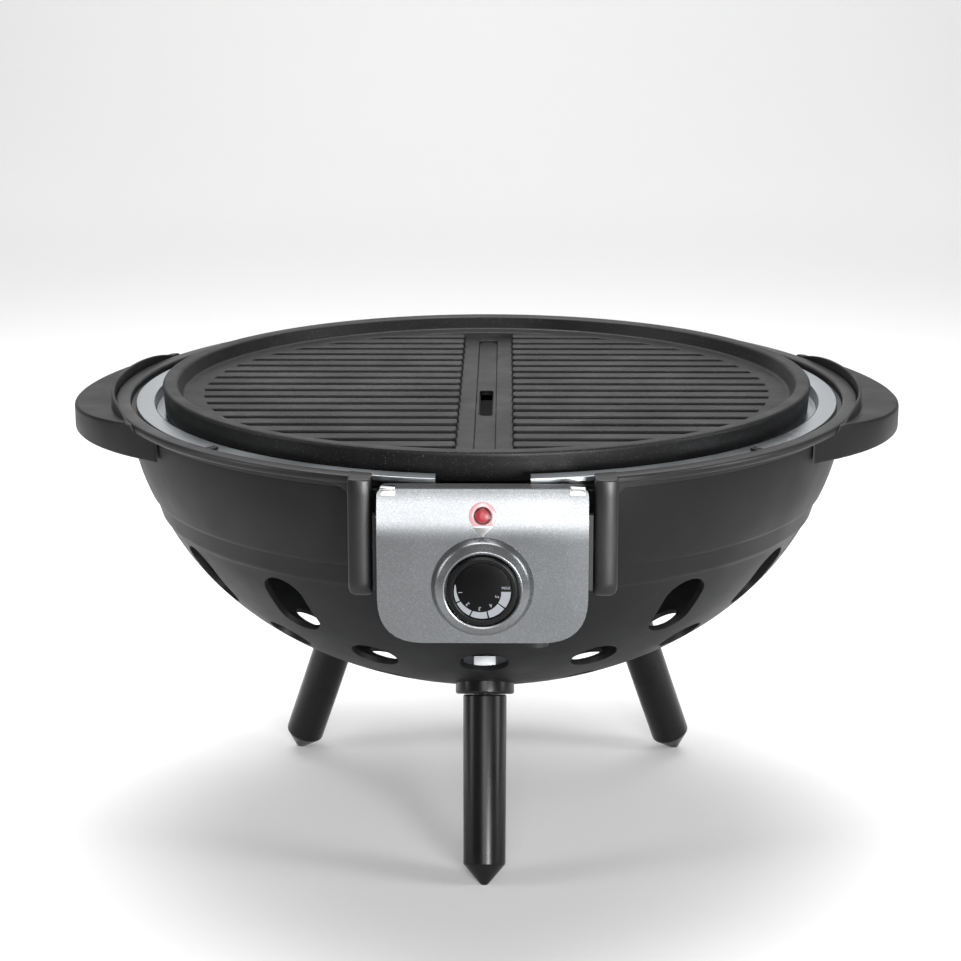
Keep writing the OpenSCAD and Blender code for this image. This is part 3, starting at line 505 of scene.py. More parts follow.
class Finishes(Enum):
    """The finishes of this grill."""

    # Moulded polypropylene: fine spark-eroded grain that gives a soft grey sheen at the edges.
    BOWL = Finish("moulded_polypropylene_black", "bowl_plastic", "#0d0d0e", 0.50, ior=1.32,
                  grain=0.9, grain_depth=0.05, uneven=0.05)
    # Moulded phenolic, black satin: the slight warm tint in its colour paints the brownish
    # reflection on the collar's top.
    COLLAR = Finish("moulded_phenolic_black_painted_warm_reflection", "collar_plastic", "#121111", 0.40, ior=1.46,
                    grain=0.9, grain_depth=0.03)
    HANDLE = Finish("moulded_phenolic_grained_black", "handle_plastic", "#0a0a0a", 0.45, ior=1.36,
                    grain=0.9, grain_depth=0.04)
    LUG = Finish("moulded_phenolic_lug", "collar_plastic", "#121212", 0.45)
    # Moulded ABS: smoother tool, so the legs show long soft highlights.
    LEG = Finish("moulded_abs_semi_gloss_black", "leg_plastic", "#080808", 0.28, ior=1.36,
                 grain=1.4, grain_depth=0.012, uneven=0.05)
    HOUSING = Finish("moulded_abs_matt_black", "housing_plastic", "#121213", 0.48,
                     grain_depth=0.03)
    NECK = Finish("moulded_phenolic_heat_proof", "neck_phenolic", "#100f0f", 0.5)
    # Pressed aluminium: satin sheet with faint rolling grain.
    TRAY = Finish("pressed_aluminium_satin", "tray_metal", "#b2b6b9", 0.30, metallic=1.0,
                  grain=0.5, grain_depth=0.008, uneven=0.08, patch=60)
    # Cast aluminium with a sprayed non-stick coating: pebbly; its sparkle is painted as lighter
    # specks in the colour that stand in for glints of light off its mineral grains.
    COATING = FlakeFinish("cast_aluminium_non_stick", "plate_coating", "#0a0a0b", 0.46, ior=1.36,
                          grain=0.8, grain_depth=0.05, fleck=0.4, fleck_colour="#3c3c40",
                          fleck_share=0.04, uneven=0.08)
    # Silver metallic paint under a satin lacquer.
    PANEL = FlakeFinish("silver_metallic_paint", "panel_paint", "#737577", 0.27, metallic=0.85,
                        grain=0.6, grain_depth=0.006, fleck=0.3, fleck_colour="#888a8c",
                        fleck_share=0.4, uneven=0.03, coat=0.3, coat_roughness=0.15)
    # Painted highlight: the faceplate's side and bottom edges get a bright bare metal that stands
    # in for the bright line of light that they reflect; the top edge keeps the paint.
    EDGE = Finish("painted_edge_highlight", "panel_paint", "#f6f6f6", 0.2, metallic=1.0,
                  grain_depth=0.003)
    POINTER = Finish("bright_silver_plated", "pointer_metal", "#dcdcdc", 0.2, metallic=1.0,
                     grain_depth=0.002)
    TAB = Finish("chromed_clip", "tab_metal", "#e6e6e6", 0.12, metallic=1.0, grain_depth=0.002)
    # Painted light: the surround is clear plastic, and its pink colour paints the red light of the
    # lens that shows in it.
    SURROUND = Finish("clear_polycarbonate_painted_lens_red", "surround_clear", "#c08a8c", 0.16,
                      ior=1.58, grain_depth=0.002, coat=0.5)
    LENS = Finish("cast_acrylic_red", "lens_red", "#4a0812", 0.12, ior=1.49, coat=0.4,
                  grain_depth=0.002)
    # Painted light: a lighter red disc in the middle of the lens paints the lamp's glow showing
    # through it; it gives off no light.
    LENS_PAINTED_GLOW = Finish("cast_acrylic_red_painted_glow", "lens_red", "#8c1c28", 0.34, ior=1.49,
                       grain_depth=0.002)
    KNOB = Finish("moulded_abs_satin_black", "knob_plastic", "#060607", 0.3, ior=1.3,
                  grain=1.0, grain_depth=0.01)
    DIAL = Finish("moulded_abs_gloss_black", "knob_plastic", "#040404", 0.25, ior=1.25,
                  grain=1.0, grain_depth=0.004)
    PRINT = Finish("pad_printed_grey", "dial_print", "#7c7f84", 0.5, grain_depth=0.003)
    SCREW = Finish("zinc_plated_steel", "screw_steel", "#b9bbbe", 0.3, metallic=1.0,
                   grain_depth=0.004)
    LAMP = Finish("lamp_glass", "lamp_glass", "#c98a5c", 0.1, grain_depth=0.001)
    CERAMIC = Finish("unglazed_steatite", "thermostat_ceramic", "#cdc6b0", 0.6)
    ELEMENT = Finish("heat_darkened_steel_tube", "element_steel", "#5e5a57", 0.38, metallic=1.0,
                     grain=2.0, grain_depth=0.01, uneven=0.12, patch=15)
    BRACKET = Finish("plated_strip_steel", "bracket_steel", "#b4b6b8", 0.35, metallic=1.0)
    RUBBER = Finish("moulded_rubber_matt", "gland_rubber", "#141414", 0.7)


def add_piece(name: str, bm: bmesh.types.BMesh, finish: Finishes, body: str,
              stands_for: Sequence[str] = (), sharp: float = 35.0,
              modifiers: Callable[[bpy.types.Object], None] | None = None) -> bpy.types.Object:
    """Turns a mesh in millimetres into a dressed piece of the grill.

    Args:
        name: name of the piece.
        bm: its mesh, freed here.
        finish: its finish.
        body: body that it moves with.
        stands_for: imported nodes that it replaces.
        sharp: angle past which an edge stays sharp, in degrees.
        modifiers: adds the piece's modifiers.
    Returns:
        The piece.
    """
    bm.transform(PLACE)
    mesh = bpy.data.meshes.new(name)
    bm.to_mesh(mesh)
    bm.free()
    mesh.polygons.foreach_set("use_smooth", [True] * len(mesh.polygons))
    mesh.set_sharp_from_angle(angle=math.radians(sharp))
    piece = bpy.data.objects.new(name, mesh)
    bpy.context.scene.collection.objects.link(piece)
    mesh.materials.append(finish.value.build())
    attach(piece, body)
    if stands_for:
        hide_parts(*stands_for)
    if modifiers:
        modifiers(piece)
    LOG.info("%s: %d vertices on %s", name, len(mesh.vertices), body)
    return piece


def even_shading(piece: bpy.types.Object) -> None:
    """Evens the shading of a piece and keeps its sharp edges."""
    piece.modifiers.new("shading", "WEIGHTED_NORMAL").keep_sharp = True


def bevel_modifier(width: float, segments: int = 2, angle: float = 40.0,
                   thickness: float = 0.0) -> Callable[[bpy.types.Object], None]:
    """Rounds a piece's sharp edges and evens its shading.

    Args:
        width: width of the round in millimetres.
        segments: strips in it.
        angle: angle past which an edge is rounded.
        thickness: wall in millimetres that a sheet gets first, 0 for a solid.
    Returns:
        A function that adds the modifiers.
    """
    def add(piece: bpy.types.Object) -> None:
        """Adds the wall, the rounds and the shading."""
        if thickness:
            wall = piece.modifiers.new("wall", "SOLIDIFY")
            wall.thickness = thickness * MM
            wall.offset = -1
            wall.use_even_offset = True
        rim = piece.modifiers.new("edges", "BEVEL")
        rim.width = width * MM
        rim.segments = segments
        rim.limit_method = "ANGLE"
        rim.angle_limit = math.radians(angle)
        rim.use_clamp_overlap = True
        even_shading(piece)
    return add


# ---------------------------------------------------------------- the bowl

@dataclass(frozen=True)
class VentRow:
    """A row of openings in the bowl's wall."""

    place: float
    width: float
    length: float
    azimuths: tuple[float, ...]
    half_columns: int
    margin: float = 3.0


@dataclass
class Bowl:
    """The moulded bowl: an oval lower part, a step, and an upper wall with the heater's bay."""

    sizes: GrillSizes
    bottom_r: float = 40.0
    upper_w: float = 24.0
    upper_l: float = 40.0
    lower_d: float = 24.0
    bottom_d: float = 20.0
    ring_a: float = 97.0
    ring_b: float = 57.0
    bay_drop: float = 32.0
    bay_edge: float = 49.0
    vent_pitch: float = 24.0
    seam: float = 160.0
    column: float = 2.0
    band_top: float = -0.2
    band_low: float = 0.7
    band_edge: float = 69.45
    band_end: float = 68.2
    foot_h: float = 2.2
    foot_in: float = 0.6
    boss_azimuths: tuple[float, ...] = (40, 90, 140, 220, 270, 320)
    boss_drop: float = 10.0

    def __post_init__(self) -> None:
        """Works out the two ovals and the rows of openings."""
        s = self.sizes
        self.top = s.bowl_top
        self.low_r = s.bowl_r - 3.95
        self.step_z = self.top - s.bowl_depth * math.cos(math.radians(s.step_angle))
        self.high_z = self.top + 6
        inner = self.low_r * math.sin(math.radians(s.step_angle)) + s.step_out
        self.high_depth = (self.high_z - self.step_z) / math.sqrt(1 - (inner / s.bowl_r) ** 2)
        pitch = self.vent_pitch
        self.rows = [
            VentRow(60.1, self.upper_w, self.upper_l,
                    tuple(pitch * (k + 0.5) for k in range(-8, 7) if k not in (-1, 0)), 3),
            VentRow(46.15, self.lower_d, self.lower_d,
                    tuple(pitch * k for k in range(-8, 7)), 3),
            VentRow(self.angle_at(self.ring_a), self.bottom_d, self.bottom_d,
                    tuple(k * 30.0 for k in range(-6, 6) if k % 4), 4),
            VentRow(self.angle_at(self.ring_b), self.bottom_d, self.bottom_d,
                    (-144.0, -72.0, 0.0, 72.0, 144.0), 7),
        ]

    def angle_at(self, radius: float) -> float:
        """Oval angle in degrees where the lower wall has a radius."""
        return math.degrees(math.asin(radius / self.low_r))

    def upper_r(self, z: float) -> float:
        """Outer radius of the upper wall at a height."""
        return self.sizes.bowl_r * math.sqrt(1 - ((self.high_z - z) / self.high_depth) ** 2)

    def mm_per_degree(self, station: float) -> float:
        """Length of wall that a degree of oval angle covers."""
        t = math.radians(station)
        speed = math.hypot(self.low_r * math.cos(t), self.sizes.bowl_depth * math.sin(t))
        return speed * math.pi / 180

    def profile(self, station: float) -> Point:
        """Radius and height of the wall.

        Args:
            station: oval angle up to the step; past it, a millimetre of height each.
        Returns:
            Radius and height.
        """
        edge = self.sizes.step_angle
        t = math.radians(min(station, edge))
        r = self.low_r * math.sin(t) + self.band(station)
        z = self.top - self.sizes.bowl_depth * math.cos(t)
        if station > edge:
            z = self.step_z + max(station - edge - 1, 0)
            share = min(station - edge, 1)
            foot = max(1 - (z - self.step_z) / self.foot_h, 0) ** 2 * self.foot_in
            r = r + (self.upper_r(z) - foot - r) * share
        return r, z

    def band(self, station: float) -> float:
        """How far the band below the step stands proud of the oval."""
        if station > self.band_edge:
            share = (self.sizes.step_angle - station) / (self.sizes.step_angle - self.band_edge)
            return self.band_top + (self.band_low - self.band_top) * max(share, 0) ** 2
        share = max(station - self.band_end, 0) / (self.band_edge - self.band_end)
        return self.band_low * share * share * (3 - 2 * share)

    def stations(self) -> list[float]:
        """Rows of the wall's grid, from the flat bottom to the top edge."""
        edge = self.sizes.step_angle
        marks = [self.angle_at(self.bottom_r), edge, edge - 0.25,
                 *(edge + 1 + self.foot_h * k / 4 for k in range(5)),
                 self.band_end, (self.band_end + self.band_edge) / 2,
                 self.band_edge - 0.3, self.band_edge, self.band_edge + 0.4,
                 edge + 1 + self.top - self.bay_drop - self.step_z,
                 edge + 1 + self.top - self.step_z]
        for row in self.rows:
            half = (row.length / 2 + row.margin) / self.mm_per_degree(row.place)
            marks += [row.place - half, row.place + half]
        marks.sort()
        found = [marks[0]]
        for low, high in zip(marks, marks[1:]):
            parts = max(round((high - low) / (1.0 if high <= edge else 3.0)), 1)
            found += [low + (high - low) * (k + 1) / parts for k in range(parts)]
        return found

    def on_wall(self, azimuth: float, station: float) -> Vector:
        """Point of the wall's outer face."""
        r, z = self.profile(station)
        t = math.radians(azimuth)
        return Vector((r * math.sin(t), -r * math.cos(t), z))

    def cut(self, bm: bmesh.types.BMesh, azimuth: float, row: VentRow) -> None:
        """Cuts one opening in the flat grid.

        Args:
            bm: grid with azimuths and stations as coordinates.
            azimuth: place of the opening.
            row: its row.
        """
        scale = self.mm_per_degree(row.place)
        tall = (row.length / 2 + row.margin) / scale + 0.01
        wide = row.half_columns * self.column + 0.01

        def covered(verts: Sequence[bmesh.types.BMVert]) -> bool:
            """Tells whether vertices lie in the opening's rectangle."""
            return all(abs(self.apart(v.co.x, azimuth)) < wide
                       and abs(v.co.y - row.place) < tall for v in verts)

        bmesh.ops.delete(bm, geom=[f for f in bm.faces if covered(f.verts)], context="FACES")
        rim = [e for e in open_edges(bm) if covered(e.verts)]
        fresh = new_verts(bmesh.ops.extrude_edge_only(bm, edges=rim))
        across = self.profile(row.place)[0] * math.pi / 180
        half_w = row.half_columns * self.column * across
        half_h = (tall - 0.01) * scale
        for vert in fresh:
            x = self.apart(vert.co.x, azimuth) * across
            y = (vert.co.y - row.place) * scale
            p, q = self.slot_point(row, self.rim_share(x, y, half_w, half_h))
            station = row.place + q / scale
            vert.co = (azimuth + math.degrees(math.asin(p / self.profile(station)[0])), station, 0)

    @staticmethod
    def apart(azimuth: float, other: float) -> float:
        """Turn in degrees from one azimuth to another, from -180 to 180."""
        return (azimuth - other + 180) % 360 - 180

    @staticmethod
    def rim_share(x: float, y: float, half_w: float, half_h: float) -> float:
        """Share of the way round a rectangle, from the middle of its left side and downwards.

        Args:
            x: place across of a point on the rectangle.
            y: place up of the point.
            half_w: half the rectangle's width.
            half_h: half its height.
        Returns:
            0 to 1.
        """
        near = 0.01 * half_w
        if x < near - half_w and y <= 0:
            way = -y
        elif y < near - half_h:
            way = half_h + x + half_w
        elif x > half_w - near:
            way = 2 * half_h + 2 * half_w + y
        elif y > half_h - near:
            way = 3 * half_h + 3 * half_w - x
        else:
            way = 4 * half_h + 4 * half_w - y
        return way / (4 * (half_w + half_h))

    @staticmethod
    def slot_point(row: VentRow, share: float) -> Point:
        """Point on an opening's outline.

        Args:
            row: the opening's row.
            share: share of the way round, from the middle of its left side and downwards.
        Returns:
            Millimetres across and up the wall from its centre.
        """
        radius = row.width / 2
        half = row.length / 2 - radius
        bend = math.pi * radius
        way = share * (4 * half + 2 * bend)
        if way < half:
            return -radius, -way
        way -= half
        if way < bend:
            return -radius * math.cos(way / radius), -half - radius * math.sin(way / radius)
        way -= bend
        if way < 2 * half:
            return radius, way - half
        way -= 2 * half
        if way < bend:
            return radius * math.cos(way / radius), half + radius * math.sin(way / radius)
        return -radius, half + bend - way

    def shell(self) -> bmesh.types.BMesh:
        """Makes the outer face of the wall, with its openings and the heater's bay."""
        rows = self.stations()
        columns = round(360 / self.column)
        bm = bmesh.new()
        bmesh.ops.create_grid(bm, x_segments=columns, y_segments=len(rows) - 1, size=1)
        for vert in bm.verts:
            row = round((vert.co.y + 1) / 2 * (len(rows) - 1))
            column = round((vert.co.x + 1) / 2 * columns)
            vert.co = (self.seam - 360 + column * self.column, rows[row], 0)
        self.close_seam(bm)
        for row in self.rows:
            for azimuth in row.azimuths:
                self.cut(bm, azimuth, row)
        self.open_bay(bm)
        for vert in bm.verts:
            vert.co = self.on_wall(vert.co.x, vert.co.y)
        bmesh.ops.remove_doubles(bm, verts=bm.verts[:], dist=0.01)
        low = self.profile(rows[0])[1] + 0.01
        foot = [e for e in open_edges(bm) if all(v.co.z < low for v in e.verts)]
        bmesh.ops.holes_fill(bm, edges=foot)
        return tidy(bm)

    def close_seam(self, bm: bmesh.types.BMesh) -> None:
        """Welds the two ends of the flat grid, so that an opening may lie across them.

        Args:
            bm: grid with azimuths and stations as coordinates.
        """
        first = {round(v.co.y, 3): v for v in bm.verts if abs(v.co.x - self.seam + 360) < 0.01}
        ends = [v for v in bm.verts if abs(v.co.x - self.seam) < 0.01]
        bmesh.ops.weld_verts(bm, targetmap={v: first[round(v.co.y, 3)] for v in ends})

    def open_bay(self, bm: bmesh.types.BMesh) -> None:
        """Takes the heater's bay out of the front of the flat grid.

        Args:
            bm: grid with azimuths and stations as coordinates.
        """
        floor = self.sizes.step_angle + 1 + self.top - self.bay_drop - self.step_z
        columns = round(math.degrees(math.asin(self.bay_edge / self.low_r)) / self.column)
        wide = columns * self.column
        inside = [f for f in bm.faces if abs(f.calc_center_median().x) < wide
                  and f.calc_center_median().y > floor]
        bmesh.ops.delete(bm, geom=inside, context="FACES")
        for vert in bm.verts:
            if abs(abs(vert.co.x) - wide) < 0.01 and vert.co.y > floor - 0.01:
                edge = math.degrees(math.asin(self.bay_edge / self.profile(vert.co.y)[0]))
                vert.co.x = math.copysign(edge, vert.co.x)

    def bosses(self) -> bmesh.types.BMesh:
        """Makes the collar's screw bosses, each with a web."""
        bm = bmesh.new()
        high = self.boss_drop
        boss_r = self.upper_r(self.top - 12) - self.sizes.wall - 3.2
        for azimuth in self.boss_azimuths:
            place = turned(azimuth) @ Matrix.Translation((0, -boss_r, self.top - high))
            post = [(1.8, 0, 0), (4, 0, 0.6), (4, high, 0), (1.8, high, 0)]
            join(bm, lathe(rounded(post), steps=24), place)
            web = [(-2.6, -5.2), (2.6, -5.2), (2.6, -2.5), (-2.6, -2.5)]
            join(bm, prism(web, 0, high, 0.4), place)
        return bm

    def build(self) -> None:
        """Makes the bowl's wall and the bosses inside it."""
        add_piece("bowl_wall", self.shell(), Finishes.BOWL, "bowl", ["bowl_shell"],
                  modifiers=bevel_modifier(0.7, 3, 50, self.sizes.wall))
        add_piece("bowl_bosses", self.bosses(), Finishes.BOWL, "bowl")


# ---------------------------------------------------------------- collar and handles

@dataclass
class Collar:
    """The ring on the bowl's edge with its two front posts."""

    sizes: GrillSizes
    bowl: Bowl
    shelf_w: float = 10.5
    shelf_t: float = 3.5
    post_w: float = 10.8
    post_drop: float = 49.0
    post_in: float = 1.7
    post_round: float = 8.0
    corner_out: float = 5.0
    corner_in: float = 2.5
    flare_w: float = 12.8
    flare_h: float = 6.2
    fit: float = 0.3

    @property
    def lip(self) -> float:
        """Height of the underside of the ring's lip."""
        return self.sizes.collar_top - self.sizes.lip_h

    def ring(self) -> bmesh.types.BMesh:
        """Makes the ring, open at the heater's bay."""
        s = self.sizes
        top, low = s.collar_top, self.lip
        shelf_z = s.bowl_top + self.shelf_t
        neck = self.bowl.upper_r(low)
        section = rounded([
            (s.collar_inner_r - self.shelf_w, s.bowl_top, 0.5),
            (s.collar_inner_r - self.shelf_w, shelf_z, 0.8),
            (s.collar_inner_r, shelf_z, 1.0), (s.collar_inner_r, top, 1.6),
            (s.collar_r, top, 1.7), (s.collar_r, low, 1.3), (neck, low, 0.3),
            (self.bowl.upper_r(s.bowl_top), s.bowl_top, 0)], 4)
        half = s.bay_w / 2
        start = math.degrees(math.asin(half / s.collar_r)) - 1
        bm = lathe(section, steps=170, start=start, turn=360 - 2 * start)
        for side in (-1, 1):
            front = [item for item in everything(bm) if self.middle(item).y < 0]
            cut = bmesh.ops.bisect_plane(bm, geom=front, dist=MERGE, plane_co=(side * half, 0, 0),
                                         plane_no=(side, 0, 0))
            near = [v for v in bm.verts if v.co.y < 0 and 0 <= v.co.x * side < half - 0.001]
            bmesh.ops.delete(bm, geom=near, context="VERTS")
            edges = [e for e in cut["geom_cut"] if isinstance(e, bmesh.types.BMEdge) and e.is_valid]
            bmesh.ops.holes_fill(bm, edges=edges)
        return tidy(bm)

    @staticmethod
    def middle(item: object) -> Vector:
        """Middle of a vertex, an edge or a face."""
        if isinstance(item, bmesh.types.BMVert):
            return item.co
        if isinstance(item, bmesh.types.BMEdge):
            return (item.verts[0].co + item.verts[1].co) / 2
        return item.calc_center_median()

    def behind(self, x: float, z: float) -> float:
        """Distance in front of the axis of the wall or ring that a post stands against."""
        s = self.sizes
        r = s.collar_inner_r if z > s.bowl_top - 0.1 else self.bowl.upper_r(z) + self.fit
        return math.sqrt(r * r - x * x)

    def post(self, side: int) -> bmesh.types.BMesh:
        """Makes one front post with a crowned face and a round lower end.

        Args:
            side: -1 for the left post, 1 for the right one.
        Returns:
            The post.
        """
        s = self.sizes
        inner, front = s.bay_w / 2, s.collar_r - self.post_in
        foot = s.bowl_top - self.post_drop
        loops = []
        heights = [foot + self.post_round * (1 - math.cos(math.radians(a)))
                   for a in range(0, 91, 6)]
        heights += [foot + 16, foot + 26, foot + 36]
        heights += [s.bowl_top - 0.2, s.bowl_top, s.collar_top - 0.03]
        for z in heights:
            below = max(foot + self.post_round - z, 0)
            back = self.post_round - math.sqrt(self.post_round ** 2 - below ** 2)
            near = inner + self.drawn_in(self.corner_in, z - foot)
            far = inner + self.post_w - self.drawn_in(self.corner_out, z - foot)
            across = [near + (far - near) * k / 10 for k in range(11)]
            faces = []
            for x in across:
                off = x - inner - self.post_w / 2
                crown = self.post_w - math.sqrt(self.post_w ** 2 - off ** 2)
                faces.append((side * x, -(front - crown - back), z))
            rear = [(side * x, -self.behind(x, z), z) for x in reversed(across)]
            loops.append(faces + rear)
        bm = loft(loops)
        sharp = [e for e in bm.edges if len(e.link_faces) == 2 and e.calc_face_angle() > 0.7
                 and sum(v.co.y for v in e.verts) / 2 < -self.behind(inner, s.bowl_top) - 2]
        bevel(bm, sharp, 0.9, 3)
        return bm

    @staticmethod
    def drawn_in(radius: float, height: float) -> float:
        """How far a round corner draws a side in at a height above the corner's end."""
        below = max(radius - height, 0)
        return radius - math.sqrt(radius ** 2 - below ** 2)

    def gusset(self, side: int) -> bmesh.types.BMesh:
        """Makes the flare that runs from the ring's lip into a post.

        Args:
            side: -1 for the left post, 1 for the right one.
        Returns:
            The flare.
        """
        s = self.sizes
        edge = s.bay_w / 2 + self.post_w
        low = self.lip
        curve = [(edge + self.flare_w * (1 + x), low - self.flare_h * (1 - z))
                 for x, z in arc((0, 0), 1, 180, 90, 10)]
        outline = [(edge - 0.5, low + 1.5), (edge - 0.5, low - self.flare_h)]
        outline += curve + [(edge + self.flare_w, low + 1.5)]
        loops = []
        for share in (0, 0.25, 0.5, 0.75, 1):
            loop = []
            for x, z in outline:
                front = math.sqrt((s.collar_r - 0.4) ** 2 - x * x)
                rear = self.behind(x, min(z, s.bowl_top - 0.2))
                loop.append((side * x, -(rear + (front - rear) * share), z))
            loops.append(loop)
        bm = loft(loops)
        rim = [e for e in bm.edges if len(e.link_faces) == 2 and e.calc_face_angle() > 0.7
               and all(v.co.z < low + 0.1 for v in e.verts)]
        bevel(bm, rim, 0.8, 3)
        return bm

    def build(self) -> None:
        """Makes the ring, posts and flares as one moulding."""
        bm = self.ring()
        for side in (-1, 1):
            join(bm, self.post(side))
            join(bm, self.gusset(side))
        add_piece("collar_moulding", bm, Finishes.COLLAR, "bowl", ["rim_collar"])


@dataclass
class Handle:
    """A side handle: a crescent with a thin ridge beside the ring and a hollow below."""

    sizes: GrillSizes
    bowl: Bowl
    out: float = 22.6
    curve_r: float = 115.0
    half: float = 98.8
    rise: float = 0.5
    dip: float = 4.3
    dip_r: float = 850.0
    height: float = 17.1
    rim: float = 3.0
    roof: float = 4.0
    ridge_w: float = 1.8
    ridge_h: float = 4.8
    ridge_fall: float = 5.0
    ridge_end: float = 83.0
    fit: float = 0.3

    @staticmethod
    def ease(share: float) -> float:
        """Smooth step from 0 to 1."""
        share = min(max(share, 0.0), 1.0)
        return share * share * (3 - 2 * share)

    def section(self, y: float) -> list[Point]:
        """Section of the handle across one place along it.

        Past the crescent's tips only the part under the ring's lip is left.

        Args:
            y: place along the handle.
        Returns:
            Distances across and heights, always as many.
        """
        s = self.sizes
        low = s.collar_top + self.rise - self.height
        dipped = s.collar_top + self.rise - self.dip
        top = min(dipped + self.dip_r - math.sqrt(self.dip_r ** 2 - y * y),
                  s.collar_top + self.rise)
        under = s.collar_top - s.lip_h - self.fit
        outer = s.collar_r + self.out - self.curve_r + math.sqrt(self.curve_r ** 2 - y * y)
        inner = min(math.sqrt((s.collar_r + 0.05) ** 2 - y * y), outer - 0.02)
        tongue = math.sqrt((self.bowl.upper_r(s.bowl_top) + 0.7) ** 2 - y * y)
        tongue = min(tongue, outer - 0.4)
        wide = outer - inner
        crest = under + 0.1 + (top - under - 0.1) * self.ease(wide / 4)
        ridge = s.collar_top + self.ridge_h - self.ridge_fall * (abs(y) / self.ridge_end) ** 5
        ridge = max(ridge, crest + 0.02)
        ridge_x = inner + min(self.ridge_w, 0.6 * wide)
        first, last = inner + self.fit, outer - self.rim
        roof = low + 0.02 + (dipped - self.roof - low) * self.ease((last - first) / 4)
        if last - first < 0.4:
            middle = (tongue + outer) / 2
            first, last = middle - 0.1, middle + 0.1
        return rounded([
            (tongue, low, 0.4), (first, low, 0.4), (first, roof, 0.8), (last, roof, 0.8),
            (last, low, 0.5), (outer, low, 1.0), (outer, crest, 2.0), (ridge_x, crest, 0.4),
            (ridge_x - 0.2 * wide / self.out, ridge, 0.7), (inner, ridge, 0.7),
            (inner, under, 0), (tongue, under, 0)], 3)

    def stations(self) -> list[float]:
        """Places along the handle, closer together at its ends."""
        tips = [82 + (self.half - 82) * k / 16 for k in range(17)]
        middle = [-80 + 160 * k / 44 for k in range(45)]
        return [-y for y in reversed(tips)] + middle + tips

    def build(self) -> None:
        """Makes the left and the right handle."""
        for side, name in ((-1, "handle_left"), (1, "handle_right")):
            loops = [[(side * x, y, z) for x, z in self.section(y)] for y in self.stations()]
            add_piece(name + "_moulding", loft(loops), Finishes.HANDLE, "bowl", [name])


# ---------------------------------------------------------------- legs

@dataclass
class Legs:
    """Three screw-in legs and the sockets that they stand in."""

    sizes: GrillSizes
    bowl: Bowl
    seat_r: float = 91.0
    splay: float = 21.0
    top_d: float = 22.3
    low_d: float = 21.4
    tip_h: float = 10.0
    tip_d: float = 6.0
    socket_d: float = 30.0
    socket_t: float = 5.0
    gap: float = 0.3
    bore_r: float = 4.1
    boss_r: float = 7.0
    boss_h: float = 15.0
    flange_in: float = 1.5

    def place(self, azimuth: float) -> Matrix:
        """Place of a leg's own axis, with its seat at 0 and its foot down."""
        station = self.bowl.angle_at(self.seat_r)
        seat = self.bowl.profile(station)[1]
        return (turned(azimuth) @ Matrix.Translation((0, -self.seat_r, seat))
                @ Matrix.Rotation(math.radians(-self.splay), 4, "X"))

    def leg(self) -> bmesh.types.BMesh:
        """Makes one leg along its own axis."""
        seat = self.bowl.profile(self.bowl.angle_at(self.seat_r))[1]
        long = seat / math.cos(math.radians(self.splay))
        top = -self.socket_t - self.gap
        section = rounded([
            (0, top, 0), (self.top_d / 2, top, 1.2), (self.low_d / 2, self.tip_h - long, 2.0),
            (self.tip_d / 2, 1 - long, 1.6), (self.tip_d / 2 - 1.4, -long - 0.6, 0.6),
            (0, -long - 0.8, 0)], 5)
        return lathe(section, steps=64)

    def socket(self) -> bmesh.types.BMesh:
        """Makes one socket flange along the leg's axis."""
        section = rounded([
            (self.bore_r, -self.socket_t, 0.3), (self.socket_d / 2, -self.socket_t, 1.6),
            (self.socket_d / 2, self.flange_in, 0), (self.boss_r, self.flange_in, 0),
            (self.boss_r, self.boss_h, 0.6), (self.bore_r, self.boss_h, 0)], 5)
        return lathe(section, steps=72)

    def build(self) -> None:
        """Makes the legs, level where they stand, and the sockets."""
        sockets = bmesh.new()
        for azimuth, name, body in ((0, "leg_front", "leg_a"), (120, "leg_rear_right", "leg_b"),
                                    (-120, "leg_rear_left", "leg_c")):
            leg = self.leg()
            leg.transform(self.place(azimuth))
            bmesh.ops.bisect_plane(leg, geom=everything(leg), dist=MERGE, plane_co=(0, 0, 0),
                                   plane_no=(0, 0, -1), clear_outer=True)
            bmesh.ops.holes_fill(leg, edges=open_edges(leg))
            add_piece(name + "_moulding", tidy(leg), Finishes.LEG, body, [name])
            join(sockets, self.socket(), self.place(azimuth))
        add_piece("leg_socket_flanges", sockets, Finishes.LEG, "bowl", ["leg_sockets"])


# ---------------------------------------------------------------- tray and plate

